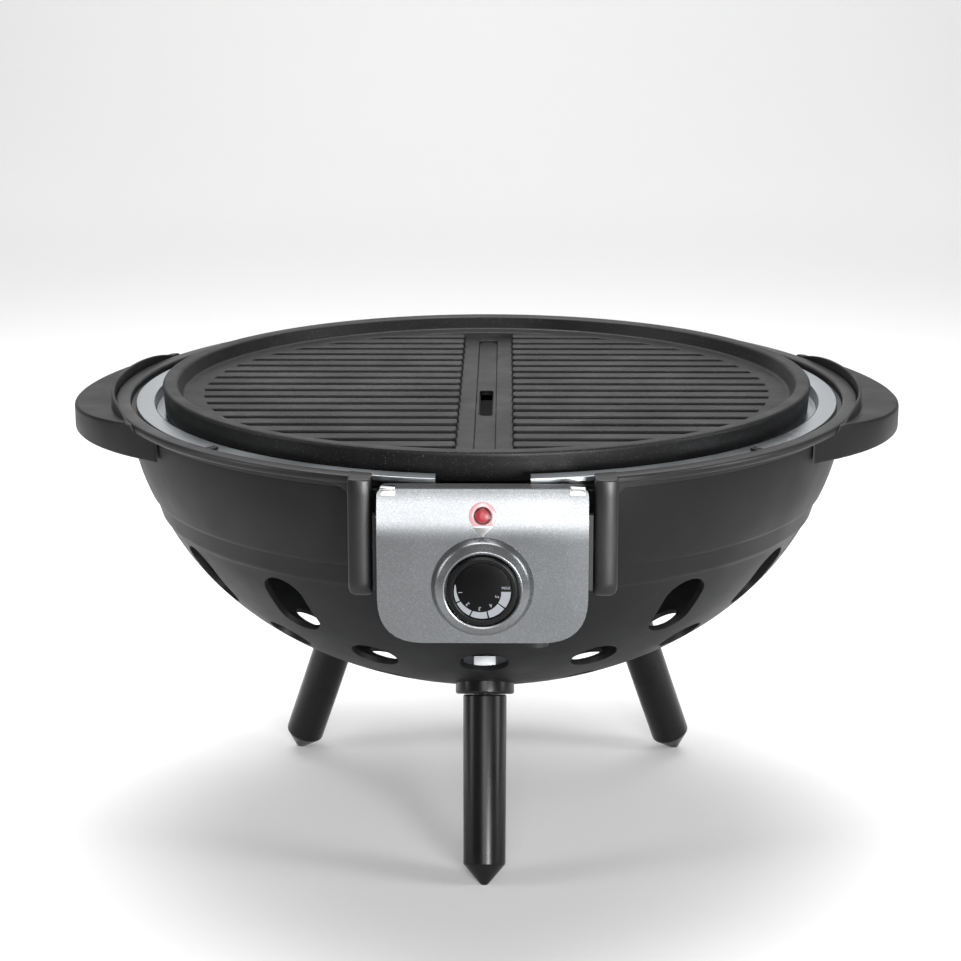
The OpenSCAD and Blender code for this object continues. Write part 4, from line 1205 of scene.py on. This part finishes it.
@dataclass
class DripTray:
    """The pressed tray: a flat rim, a step for the plate and a dish."""

    sizes: GrillSizes
    rim_w: float = 9.7
    rim_t: float = 2.1
    step: float = 5.9
    depth: float = 41.0
    sheet: float = 1.6
    notch_half: float = 22.0
    notch_z: float = 207.7
    notch_y: float = 140.0
    draft: float = 12.0
    lug_angle: float = 45.0
    lug_w: float = 3.6
    lug_l: float = 6.0
    lug_up: float = 1.4

    def build(self) -> None:
        """Makes the tray with its notch for the neck, and the forked lugs."""
        s = self.sizes
        top = s.tray_top
        floor = top - self.depth
        rim = s.tray_r - self.rim_w
        seat = s.plate_r - 4
        wall = seat - self.draft
        line = rounded([
            (s.tray_r, top - self.rim_t, 0), (s.tray_r, top, 0.5), (rim, top, 1.0),
            (rim - 0.5, top - self.step, 1.2), (seat, top - self.step, 1.4),
            (seat - self.draft * (top - self.step - self.notch_z)
             / (top - self.step - floor - self.draft), self.notch_z, 0),
            (wall, floor + self.draft, 3), (wall - 5, floor + 4, 3), (wall - 14, floor, 3),
            (0, floor, 0)], 4, closed=False)
        bm = lathe(line, closed=False, steps=240)
        self.open_notch(bm)
        piece = bevel_modifier(0.3, 2, 50, self.sheet)
        if sum(f.normal.z for f in bm.faces) < 0:
            bmesh.ops.reverse_faces(bm, faces=bm.faces[:])
        add_piece("tray_pressing", bm, Finishes.TRAY, "tray", ["drip_tray"], modifiers=piece)
        self.lugs()

    def lugs(self) -> None:
        """Makes the forked lugs that keep the tray from turning."""
        s = self.sizes
        bm = bmesh.new()
        edge = s.collar_inner_r
        for side in (-1, 1):
            for x in (-self.lug_w / 3, self.lug_w / 3):
                half = self.lug_w / 6
                leg = prism(rounded([(x - half, -edge, 0.3), (x + half, -edge, 0.3),
                                     (x + half, self.lug_l - edge, 0.3),
                                     (x - half, self.lug_l - edge, 0.3)], 2),
                            s.tray_top - 2, s.tray_top + self.lug_up, 0.25)
                join(bm, leg, turned(side * self.lug_angle))
            web = prism([(-self.lug_w / 2, -edge), (self.lug_w / 2, -edge),
                         (self.lug_w / 2, 1.4 - edge), (-self.lug_w / 2, 1.4 - edge)],
                        s.tray_top - 2.5, s.tray_top + self.lug_up - 0.4, 0.2)
            join(bm, web, turned(side * self.lug_angle))
        add_piece("tray_lug_forks", bm, Finishes.LUG, "bowl", ["tray_lugs"])

    def open_notch(self, bm: bmesh.types.BMesh) -> None:
        """Cuts the notch for the neck out of the front of the tray.

        Args:
            bm: the tray's sheet.
        """
        half, low = self.notch_half, self.notch_z
        for x in (-half, half):
            near = [item for item in everything(bm) if Collar.middle(item).y < -self.notch_y]
            bmesh.ops.bisect_plane(bm, geom=near, dist=MERGE, plane_co=(x, 0, 0),
                                   plane_no=(1, 0, 0))
        gone = [f for f in bm.faces if abs(f.calc_center_median().x) < half
                and f.calc_center_median().y < -self.notch_y
                and f.calc_center_median().z > low]
        bmesh.ops.delete(bm, geom=gone, context="FACES")


@dataclass
class GrillPlate:
    """The cast plate: a rolled rim, two fields of ribs, a middle channel and a drain slot."""

    sizes: GrillSizes
    rim_h: float = 7.5
    rib_margin: float = 22.0
    pitch: float = 15.7
    groove_w: float = 6.2
    groove_depth: float = 4.0
    strip_w: float = 28.0
    channel_w: float = 10.6
    channel_depth: float = 1.5
    drain_w: float = 7.3
    drain_l: float = 60.0
    drain_shift: float = 14.0

    def comb(self, inset: float) -> list[Point]:
        """Outline of the sunk area between the ribs.

        Args:
            inset: how far the outline is drawn in.
        Returns:
            Its points, as many for each inset.
        """
        field_r = self.sizes.plate_r - self.rib_margin
        each_way = math.floor((field_r - self.pitch / 2) / self.pitch)
        r, half, x = field_r - inset, self.groove_w / 2 - inset, self.strip_w / 2 - inset
        rib_round, end_round = 1.8 + inset, max(1.6 - inset, 0.3)
        right: list[tuple[float, float, float]] = []
        for k in range(-each_way, each_way):
            low, high = (k + 0.5) * self.pitch - half, (k + 0.5) * self.pitch + half
            right += [(x, low, rib_round), (math.sqrt(r * r - low * low), low, end_round),
                      (math.sqrt(r * r - high * high), high, end_round), (x, high, rib_round)]
        last = (each_way + 0.5) * self.pitch - half
        reach = math.sqrt(r * r - last * last)
        end = math.degrees(math.atan2(last, reach))
        over = [(px, py, 0.0) for px, py in arc((0, 0), r, end, 180 - end, 8)[1:-1]]
        cap = [(x, last, rib_round), (reach, last, end_round), *over,
               (-reach, last, end_round), (-x, last, rib_round)]
        left = [(-px, py, pr) for px, py, pr in reversed(right)]
        return rounded([*right, *cap, *left, *((-px, -py, pr) for px, py, pr in cap)], 3)

    def sunk(self, outline: Callable[[float], list[Point]], top: float, depth: float,
             soft: float, draft: float) -> bmesh.types.BMesh:
        """Makes the wall of a recess with a round brow, a draft and a round foot.

        Args:
            outline: gives the recess's outline for an inset.
            top: height of its brow.
            depth: depth of the recess.
            soft: radius of its brow and foot.
            draft: how far it narrows between them.
        Returns:
            The wall, open above and below.
        """
        turns = [math.radians(a) for a in (0, 30, 60, 90)]
        levels = [(soft * (math.sin(t) - 1), top - soft * (1 - math.cos(t))) for t in turns]
        levels += [(draft + soft * (1 - math.cos(t)), top - depth + soft * (1 - math.sin(t)))
                   for t in turns]
        return loft([[(x, y, z) for x, y in outline(inset)] for inset, z in levels], caps=False)

    @staticmethod
    def slot_outline(half_w: float, half_l: float, shift: float) -> Callable[[float], list[Point]]:
        """Outline of a slot with round ends, as a function of its inset."""
        def outline(inset: float) -> list[Point]:
            """Outline of the slot, drawn in by an inset."""
            w, l = half_w - inset, half_l - inset
            return rounded([(-w, shift - l, w), (w, shift - l, w), (w, shift + l, w),
                            (-w, shift + l, w)], 6)
        return outline

    def build(self) -> None:
        """Makes the plate as one casting."""
        s = self.sizes
        face = s.plate_top - self.rim_h
        floor = face - self.groove_depth
        gutter = floor - self.channel_depth
        rim = rounded([
            (s.plate_r - 14, face, 0), (s.plate_r - 11, face, 2),
            (s.plate_r - 7.6, s.plate_top - 0.4, 2.6), (s.plate_r - 0.1, s.plate_top, 3.4),
            (s.plate_r - 0.6, s.plate_top - 5, 6),
            (s.plate_r - 1.5, s.plate_bottom, 1.2), (s.plate_r - 5, s.plate_bottom, 0)],
            6, closed=False)
        bm = lathe(rim, closed=False, steps=240)
        join(bm, self.sunk(self.comb, face, self.groove_depth, 0.9, 0.3))
        channel = self.slot_outline(self.channel_w / 2, s.plate_r - self.rib_margin - 4, 0)
        join(bm, self.sunk(channel, floor, self.channel_depth, 0.5, 0.1))
        drain = self.slot_outline(self.drain_w / 2, self.drain_l / 2, -self.drain_shift)
        join(bm, self.sunk(drain, gutter, gutter - s.plate_bottom, 0.4, 0))
        for level in (face, floor, gutter, s.plate_bottom):
            rims = [e for e in open_edges(bm)
                    if all(abs(v.co.z - level) < 0.01 for v in e.verts)]
            bmesh.ops.triangle_fill(bm, use_beauty=True, edges=rims, normal=(0, 0, 1))
        add_piece("plate_casting", tidy(bm, 0.0002), Finishes.COATING, "plate", ["grill_plate"],
                  modifiers=even_shading)


# ---------------------------------------------------------------- control unit

@dataclass
class ControlUnit:
    """The lift-out unit: faceplate, housing, neck, lamp and heating tube."""

    sizes: GrillSizes
    gap: float = 3.0
    sheet: float = 2.5
    low_corner: float = 21.0
    top_corner: float = 3.0
    bend_h: float = 23.8
    bend_r: float = 50.0
    knob_up: float = 26.9
    lamp_down: float = 11.3
    ring_in_r: float = 17.1
    ring_out_r: float = 23.4
    ring_h: float = 6.5
    lens_r: float = 4.0
    glow_disc_r: float = 3.0
    surround_r: float = 6.15
    pointer_half: float = 4.7
    pointer_t: float = 0.8
    tab_w: float = 7.0
    tab_in: float = 5.0
    tab_lap: float = 2.4

    @property
    def knob_z(self) -> float:
        """Height of the knob's axis."""
        return self.sizes.panel_bottom + self.knob_up

    @property
    def lamp_z(self) -> float:
        """Height of the lamp's centre."""
        return self.sizes.panel_top - self.lamp_down

    def face_y(self, z: float) -> float:
        """Distance of the faceplate's face from the bowl's axis at a height."""
        rise = z - (self.sizes.panel_top - self.bend_h)
        if rise <= 0:
            return self.sizes.panel_y
        return self.sizes.panel_y - self.bend_r + math.sqrt(self.bend_r ** 2 - rise ** 2)

    def sheet_metal(self, corners: Sequence[tuple[float, float, float]], thickness: float,
                    proud: float, edge: float) -> bmesh.types.BMesh:
        """Makes a plate that follows the faceplate's bend.

        Args:
            corners: across, height and radius of its corners.
            thickness: its thickness.
            proud: how far its face stands in front of the faceplate's.
            edge: width of the round on its front edge.
        Returns:
            The plate.
        """
        bm = bmesh.new()
        verts, _ = chain(bm, [(x, 0, z) for x, z in rounded(corners, 8)])
        bm.faces.new(verts)
        start = self.sizes.panel_top - self.bend_h
        for k in range(14):
            bmesh.ops.bisect_plane(bm, geom=everything(bm), dist=0.0001, plane_no=(0, 0, 1),
                                   plane_co=(0, 0, start + self.bend_h * k / 14))
        back = new_verts(bmesh.ops.extrude_face_region(bm, geom=bm.faces[:]))
        bmesh.ops.translate(bm, verts=back, vec=(0, thickness, 0))
        tidy(bm)
        front = [e for e in bm.edges if all(abs(v.co.y) < 1e-4 for v in e.verts)
                 and e.calc_face_angle(0) > 0.7]
        bevel(bm, front, edge, 4)
        for vert in bm.verts:
            vert.co.y -= self.face_y(vert.co.z) + proud
        return bm

    def faceplate(self) -> None:
        """Makes the painted faceplate with the raised ring round the knob."""
        s = self.sizes
        half = s.bay_w / 2 - self.gap
        bm = self.sheet_metal([
            (-half, s.panel_bottom, self.low_corner), (half, s.panel_bottom, self.low_corner),
            (half, s.panel_top, self.top_corner), (-half, s.panel_top, self.top_corner)],
            self.sheet, 0, 0.8)
        ring = rounded([
            (self.ring_out_r, -0.6, 0), (self.ring_out_r, 0.1, 0.2),
            (self.ring_out_r - 1.8, self.ring_h * 0.62, 4.0),
            (self.ring_in_r + 1.0, self.ring_h, 1.0),
            (self.ring_in_r, self.ring_h - 0.4, 0.4), (self.ring_in_r, -0.6, 0)], 10)
        bm.normal_update()
        # Faces that look sideways or down take the second finish, a painted highlight along the
        # side and bottom edges.
        for face in bm.faces:
            face.material_index = int(abs(face.normal.x) > 0.2 or face.normal.z < -0.2)
        join(bm, lathe(ring, steps=128), facing_front(s.panel_y, 0, self.knob_z))

        def shade(piece: bpy.types.Object) -> None:
            """Adds the bright finish that paints the highlight on the side and bottom edges, and
            evens the shading.
            """
            piece.data.materials.append(Finishes.EDGE.value.build())
            even_shading(piece)
        add_piece("faceplate_pressing", bm, Finishes.PANEL, "control_unit", ["faceplate"],
                  modifiers=shade)

    def lamp(self) -> None:
        """Makes the red lens, its clear surround and the pointer below them."""
        face = self.face_y(self.lamp_z)
        lean = math.asin((self.lamp_z - self.sizes.panel_top + self.bend_h) / self.bend_r)
        place = facing_front(face, 0, self.lamp_z) @ Matrix.Rotation(-lean * 0.6, 4, "X")
        lens = rounded([(0, -4, 0), (self.lens_r, -4, 0), (self.lens_r, 0.9, 0.8),
                        (self.glow_disc_r + 0.1, 1.2, 0.4), (self.glow_disc_r + 0.1, 0.8, 0), (0, 0.8, 0)], 5)
        bm = lathe(lens, steps=64)
        bm.transform(place)
        add_piece("lens_moulding", bm, Finishes.LENS, "control_unit", ["indicator_lens"])
        # A lighter red disc inside the lens: the painted glow of the lamp behind it.
        glow_disc = rounded([(0, 0.7, 0), (self.glow_disc_r, 0.7, 0), (self.glow_disc_r, 1.1, 0.4),
                        (self.glow_disc_r * 0.5, 1.5, 1.0), (0, 1.55, 0)], 5)
        bm = lathe(glow_disc, steps=48)
        bm.transform(place)
        add_piece("lens_painted_glow", bm, Finishes.LENS_PAINTED_GLOW, "control_unit")
        ring = rounded([(self.lens_r + 0.1, -1.2, 0), (self.surround_r, -1.2, 0),
                        (self.surround_r, 0.7, 0.6), (self.lens_r + 0.1, 1.0, 0.5)], 5)
        bm = lathe(ring, steps=64)
        bm.transform(place)
        add_piece("surround_moulding", bm, Finishes.SURROUND, "control_unit",
                  ["indicator_surround"])
        top = self.lamp_z - self.surround_r + 1.6
        tip = self.sizes.panel_top - self.bend_h + 3.2
        bm = self.sheet_metal([(-self.pointer_half, top, 0.2), (0, tip, 0.3),
                               (self.pointer_half, top, 0.2)], 1.0, self.pointer_t, 0.25)
        add_piece("pointer_pressing", bm, Finishes.POINTER, "control_unit", ["pointer_mark"])

    def tabs(self) -> None:
        """Makes the bright clips over the faceplate's top corners."""
        s = self.sizes
        bm = bmesh.new()
        back = self.face_y(s.panel_top)
        for side in (-1, 1):
            x = side * (s.bay_w / 2 - self.gap - self.tab_in)
            half = self.tab_w / 2
            clip = prism(rounded([(x - half, -back - 1.0, 0.8), (x + half, -back - 1.0, 0.8),
                                  (x + half, -back + 3.4, 0.8), (x - half, -back + 3.4, 0.8)], 3),
                         s.panel_top - 0.1, s.panel_top + 1.0, 0.25)
            join(bm, clip)
            low = s.panel_top - self.tab_lap
            join(bm, self.sheet_metal([(x - half, low, 0.6), (x + half, low, 0.6),
                                       (x + half, s.panel_top, 0), (x - half, s.panel_top, 0)],
                                      0.95, 1.0, 0.25))
        add_piece("corner_clips", bm, Finishes.TAB, "control_unit", ["faceplate_tabs"])

    def moulding(self, node: str, name: str, finish: Finishes, width: float) -> None:
        """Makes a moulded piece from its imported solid, with rounded edges.

        Args:
            node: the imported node.
            name: name of the piece.
            finish: its finish.
            width: width of the rounds.
        """
        bm = bmesh.new()
        bm.from_mesh(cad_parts[node].data)
        bm.transform(PLACE.inverted())
        bmesh.ops.remove_doubles(bm, verts=bm.verts[:], dist=0.002)
        bmesh.ops.dissolve_limit(bm, angle_limit=math.radians(1), verts=bm.verts[:],
                                 edges=bm.edges[:])
        add_piece(name, bm, finish, "control_unit", [node],
                  modifiers=bevel_modifier(width, 2, 30))

    def build(self) -> None:
        """Makes the visible pieces of the control unit."""
        self.faceplate()
        self.lamp()
        self.tabs()
        self.moulding("control_housing", "housing_moulding", Finishes.HOUSING, 0.5)
        self.moulding("neck_block", "neck_moulding", Finishes.NECK, 0.6)
        self.moulding("rear_cover", "cover_moulding", Finishes.HOUSING, 0.4)


@dataclass
class HeatingTube:
    """The bent sheathed tube: two leads, an outer loop, two turns and an inner loop."""

    sizes: GrillSizes
    tube_r: float = 4.0
    outer_r: float = 113.0
    inner_r: float = 68.0
    ends_w: float = 24.0
    bend_r: float = 14.0
    back: float = 160.0

    def half_line(self) -> list[Point]:
        """Right half of the tube's centre line, from its lead to the turn at the back."""
        side = self.ends_w / 2
        bend_x = side + self.bend_r
        bend_y = math.sqrt((self.outer_r + self.bend_r) ** 2 - bend_x ** 2)
        opening = math.degrees(math.atan2(bend_x, bend_y))
        start = self.sizes.tray_r - 4.75
        line = [(side, -start + (start - bend_y) * k / 6) for k in range(6)]
        line += arc((bend_x, -bend_y), self.bend_r, 180, 90 + opening, 8)
        line += arc((0, 0), self.outer_r, opening - 90, self.back - 90, 60)[1:]
        t = math.radians(self.back - 90)
        mid, turn = (self.outer_r + self.inner_r) / 2, (self.outer_r - self.inner_r) / 2
        centre = (mid * math.cos(t), mid * math.sin(t))
        return line + arc(centre, turn, self.back - 90, self.back + 90, 16)[1:]

    def build(self) -> None:
        """Sweeps a circle along the centre line."""
        half = self.half_line()
        inner = arc((0, 0), self.inner_r, self.back - 90, -self.back - 90, 56)[1:-1]
        line = half + inner + [(-x, y) for x, y in reversed(half)]
        low, high = box_mm("heating_element")
        height = (low.z + high.z) / 2
        loops = []
        for k, (x, y) in enumerate(line):
            first, last = line[max(k - 1, 0)], line[min(k + 1, len(line) - 1)]
            along = Vector((last[0] - first[0], last[1] - first[1])).normalized()
            loops.append([(x + u * along.y, y - u * along.x, height + v)
                          for u, v in arc((0, 0), self.tube_r, 0, 360, 20)[:-1]])
        add_piece("heating_tube", loft(loops), Finishes.ELEMENT, "control_unit",
                  ["heating_element"])


@dataclass
class Knob:
    """The thermostat's knob and its printed scale."""

    sizes: GrillSizes
    unit: ControlUnit
    radius: float = 16.4
    height: float = 6.5
    dial_r: float = 13.1
    sunk: float = 0.5
    scale_r: float = 12.85
    scale_w: float = 4.4
    scale_start: float = -105.0
    scale_end: float = 91.0
    parts: int = 5
    digit_h: float = 1.8
    word_h: float = 1.3
    ink: float = 0.06

    @property
    def part_turn(self) -> float:
        """Degrees that one part of the scale covers."""
        return (self.scale_end - self.scale_start) / self.parts

    def scale(self) -> bmesh.types.BMesh:
        """Makes the growing wedge in five parts, flat, around the knob's centre."""
        bm = bmesh.new()
        step = self.part_turn
        for k in range(self.parts):
            first = self.scale_start + k * step + (1.6 if k else 0)
            last = self.scale_start + (k + 1) * step - 1.6
            turns = [first + (last - first) * j / 12 for j in range(13)]
            outer = [self.on_dial(a, self.scale_r) for a in turns]
            inner = [self.on_dial(a, self.scale_r - self.wedge(a)) for a in reversed(turns)]
            join(bm, prism(outer + inner, 0, self.ink, 0))
        return bm

    def wedge(self, azimuth: float) -> float:
        """Width of the scale at an angle from the bottom of the dial."""
        share = (azimuth - self.scale_start) / (self.scale_end - self.scale_start)
        return 0.25 + (self.scale_w - 0.25) * share ** 0.6

    @staticmethod
    def on_dial(azimuth: float, r: float) -> Point:
        """Point on the dial at an angle from its bottom towards the right."""
        t = math.radians(azimuth)
        return r * math.sin(t), -r * math.cos(t)

    def word(self, text: str, height: float, place: Point, turn: float) -> bmesh.types.BMesh:
        """Makes a printed number or word, flat on the dial.

        Args:
            text: what it says.
            height: height of its letters.
            place: its middle.
            turn: its turn in degrees.
        Returns:
            The letters.
        """
        curve = bpy.data.curves.new("print", "FONT")
        curve.body = text
        curve.align_x, curve.align_y = "CENTER", "CENTER"
        curve.size = height / 0.7
        curve.extrude = self.ink / 2
        curve.offset = 0.02
        holder = bpy.data.objects.new("print", curve)
        mesh = bpy.data.meshes.new_from_object(holder)
        bm = bmesh.new()
        bm.from_mesh(mesh)
        bpy.data.objects.remove(holder)
        bpy.data.meshes.remove(mesh)
        bpy.data.curves.remove(curve)
        bm.transform(Matrix.Translation((*place, self.ink / 2))
                     @ Matrix.Rotation(math.radians(turn), 4, "Z"))
        return bm

    def build(self) -> None:
        """Makes the knob's skirt and ring, its glossy disc and the print on it."""
        s = self.sizes
        back = s.knob_face - self.height
        ring = rounded([
            (0, 0, 0), (self.radius - 0.2, 0, 0.3), (self.radius, self.height - 1.5, 0.6),
            (self.radius - 0.7, self.height, 0.8), (self.dial_r + 0.5, self.height, 0.5),
            (self.dial_r, self.height - self.sunk - 0.2, 0),
            (0, self.height - self.sunk - 0.2, 0)], 5)
        bm = lathe(ring, steps=128)
        bm.transform(facing_front(back, 0, self.unit.knob_z))
        add_piece("knob_moulding", bm, Finishes.KNOB, "dial", ["knob"])
        disc = rounded([(0, -0.4, 0), (self.dial_r - 0.05, -0.4, 0), (self.dial_r - 0.05, 0, 0.15),
                        (0, 0, 0)], 3)
        bm = lathe(disc, steps=128)
        bm.transform(facing_front(s.knob_face - self.sunk, 0, self.unit.knob_z))
        add_piece("dial_disc", bm, Finishes.DIAL, "dial")
        bm = self.scale()
        for k in range(self.parts):
            azimuth = self.scale_start + (k + 0.45) * self.part_turn
            r = self.scale_r - self.wedge(azimuth) - 1.75
            join(bm, self.word(str(k + 1), self.digit_h, self.on_dial(azimuth, r), 180 + azimuth))
        join(bm, self.word("MAX", self.word_h, (self.scale_r - self.scale_w / 2, 1.6), 0))
        bm.transform(facing_front(s.knob_face - self.sunk, 0, self.unit.knob_z))
        add_piece("dial_print", bm, Finishes.PRINT, "dial", ["dial_scale"])


class Fittings:
    """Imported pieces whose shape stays: they only get their finish."""

    FINISH = {
        "handle_screws": Finishes.SCREW, "rim_screws": Finishes.SCREW,
        "socket_nuts": Finishes.SCREW, "housing_screws": Finishes.SCREW,
        "thermostat_shaft": Finishes.SCREW, "stud_front": Finishes.SCREW,
        "stud_rear_left": Finishes.SCREW, "stud_rear_right": Finishes.SCREW,
        "neon_lamp": Finishes.LAMP, "thermostat": Finishes.CERAMIC,
        "terminal_block": Finishes.CERAMIC, "element_brackets": Finishes.BRACKET,
        "cord_gland": Finishes.RUBBER,
    }

    @classmethod
    def build(cls) -> None:
        """Puts the finish on every kept node."""
        for node, finish in cls.FINISH.items():
            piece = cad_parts[node]
            piece.data.materials.clear()
            piece.data.materials.append(finish.value.build())


# ---------------------------------------------------------------- studio

@dataclass
class Studio:
    """Pale floor, soft lights and the camera."""

    sizes: GrillSizes
    camera_back: float = 1194.15
    camera_up: float = 495.21
    camera_tilt: float = 75.127
    camera_azimuth: float = 0.5
    lens: float = 85.46
    shift: float = -6 / 961
    sensor_w: float = 36.0
    floor_half: float = 8.0
    world_strength: float = 0.2

    def camera(self) -> None:
        """Sets the camera."""
        data = bpy.data.cameras.new("camera")
        data.lens = self.lens
        data.sensor_width = self.sensor_w
        data.shift_x = self.shift
        data.clip_end = 50
        camera = bpy.data.objects.new("camera", data)
        spot = turned(self.camera_azimuth) @ Vector((0, -self.camera_back, self.camera_up))
        camera.location = PLACE @ spot
        camera.rotation_euler = (math.radians(self.camera_tilt), 0,
                                 math.radians(self.camera_azimuth))
        bpy.context.scene.collection.objects.link(camera)
        bpy.context.scene.camera = camera

    def softbox(self, name: str, place: Sequence[float], aim: Sequence[float],
                size: tuple[float, float], watts: float, spread: float = 180) -> None:
        """Adds a rectangular softbox.

        Args:
            name: its name.
            place: where it stands, in metres.
            aim: the point that it faces.
            size: its width and height.
            watts: its power.
            spread: angle in degrees that its grid lets through.
        """
        data = bpy.data.lights.new(name, "AREA")
        data.shape = "RECTANGLE"
        data.size, data.size_y = size
        data.energy = watts
        data.spread = math.radians(spread)
        light = bpy.data.objects.new(name, data)
        light.location = place
        way = Vector(aim) - Vector(place)
        light.rotation_euler = way.to_track_quat("-Z", "Y").to_euler()
        bpy.context.scene.collection.objects.link(light)

    def floor(self) -> None:
        """Lays a pale floor that curves up behind the grill."""
        bm = bmesh.new()
        half = self.floor_half
        line = [(-half, 0.0), (2.6, 0.0), *arc((2.6, 1.4), 1.4, -90, 0, 12)[1:], (4.0, 6.0)]
        edges = chain(bm, [(-half, y, z) for y, z in line], closed=False)[1]
        across = new_verts(bmesh.ops.extrude_edge_only(bm, edges=edges))
        bmesh.ops.translate(bm, verts=across, vec=(2 * self.floor_half, 0, 0))
        tidy(bm)
        if bm.faces[:][0].normal.z < 0:
            bmesh.ops.reverse_faces(bm, faces=bm.faces[:])
        mesh = bpy.data.meshes.new("studio_floor")
        bm.to_mesh(mesh)
        bm.free()
        mesh.polygons.foreach_set("use_smooth", [True] * len(mesh.polygons))
        floor = bpy.data.objects.new("studio_floor", mesh)
        bpy.context.scene.collection.objects.link(floor)
        paper = Finish("studio_paper", "", "#f4f4f4", 0.9, grain_depth=0.0, uneven=0.0)
        mesh.materials.append(paper.build())

    def build(self) -> None:
        """Makes the studio."""
        self.camera()
        self.floor()
        world = bpy.data.worlds.new("studio_light")
        world.use_nodes = True
        back = world.node_tree.nodes["Background"]
        back.inputs["Color"].default_value = linear("#ffffff")
        back.inputs["Strength"].default_value = self.world_strength
        bpy.context.scene.world = world
        bpy.context.scene.view_settings.view_transform = "Standard"
        self.softbox("softbox_top", (0.0, 0.45, 1.7), (0, 0.35, 0), (1.6, 1.2), 10.5, 80)
        self.softbox("softbox_back", (0.0, 2.0, 2.4), (0, 3.2, 0.2), (3.5, 1.5), 55)
        # A bank of three strips: its grid keeps the floor in front of the grill dark.
        for k, (height, watts) in enumerate(((0.4, 0.46), (0.82, 0.48), (1.25, 0.26))):
            self.softbox(f"softbox_front_{k}", (0.0, -1.6, height), (0, -0.2, 0.2),
                         (1.6, 0.47), watts, 28)
        self.softbox("softbox_left", (-1.5, -0.4, 0.7), (0, 0, 0.18), (0.4, 1.1), 1.0, 60)
        self.softbox("softbox_right", (1.5, -0.4, 0.7), (0, 0, 0.18), (0.4, 1.1), 1.5, 60)
        self.softbox("softbox_low", (0.46, -1.25, 0.2), (0, -0.2, 0.2), (0.3, 0.3), 1.8, 60)


def main() -> None:
    """Builds the studio and every sub-assembly."""
    logging.basicConfig(level=logging.INFO, format="%(message)s")
    Studio(SIZES).build()
    bowl = Bowl(SIZES)
    unit = ControlUnit(SIZES)
    for part in (bowl, Collar(SIZES, bowl), Handle(SIZES, bowl), Legs(SIZES, bowl),
                 DripTray(SIZES), GrillPlate(SIZES), unit, HeatingTube(SIZES),
                 Knob(SIZES, unit), Fittings()):
        LOG.info("building %s", type(part).__name__)
        part.build()


if __name__ == "__main__":
    main()
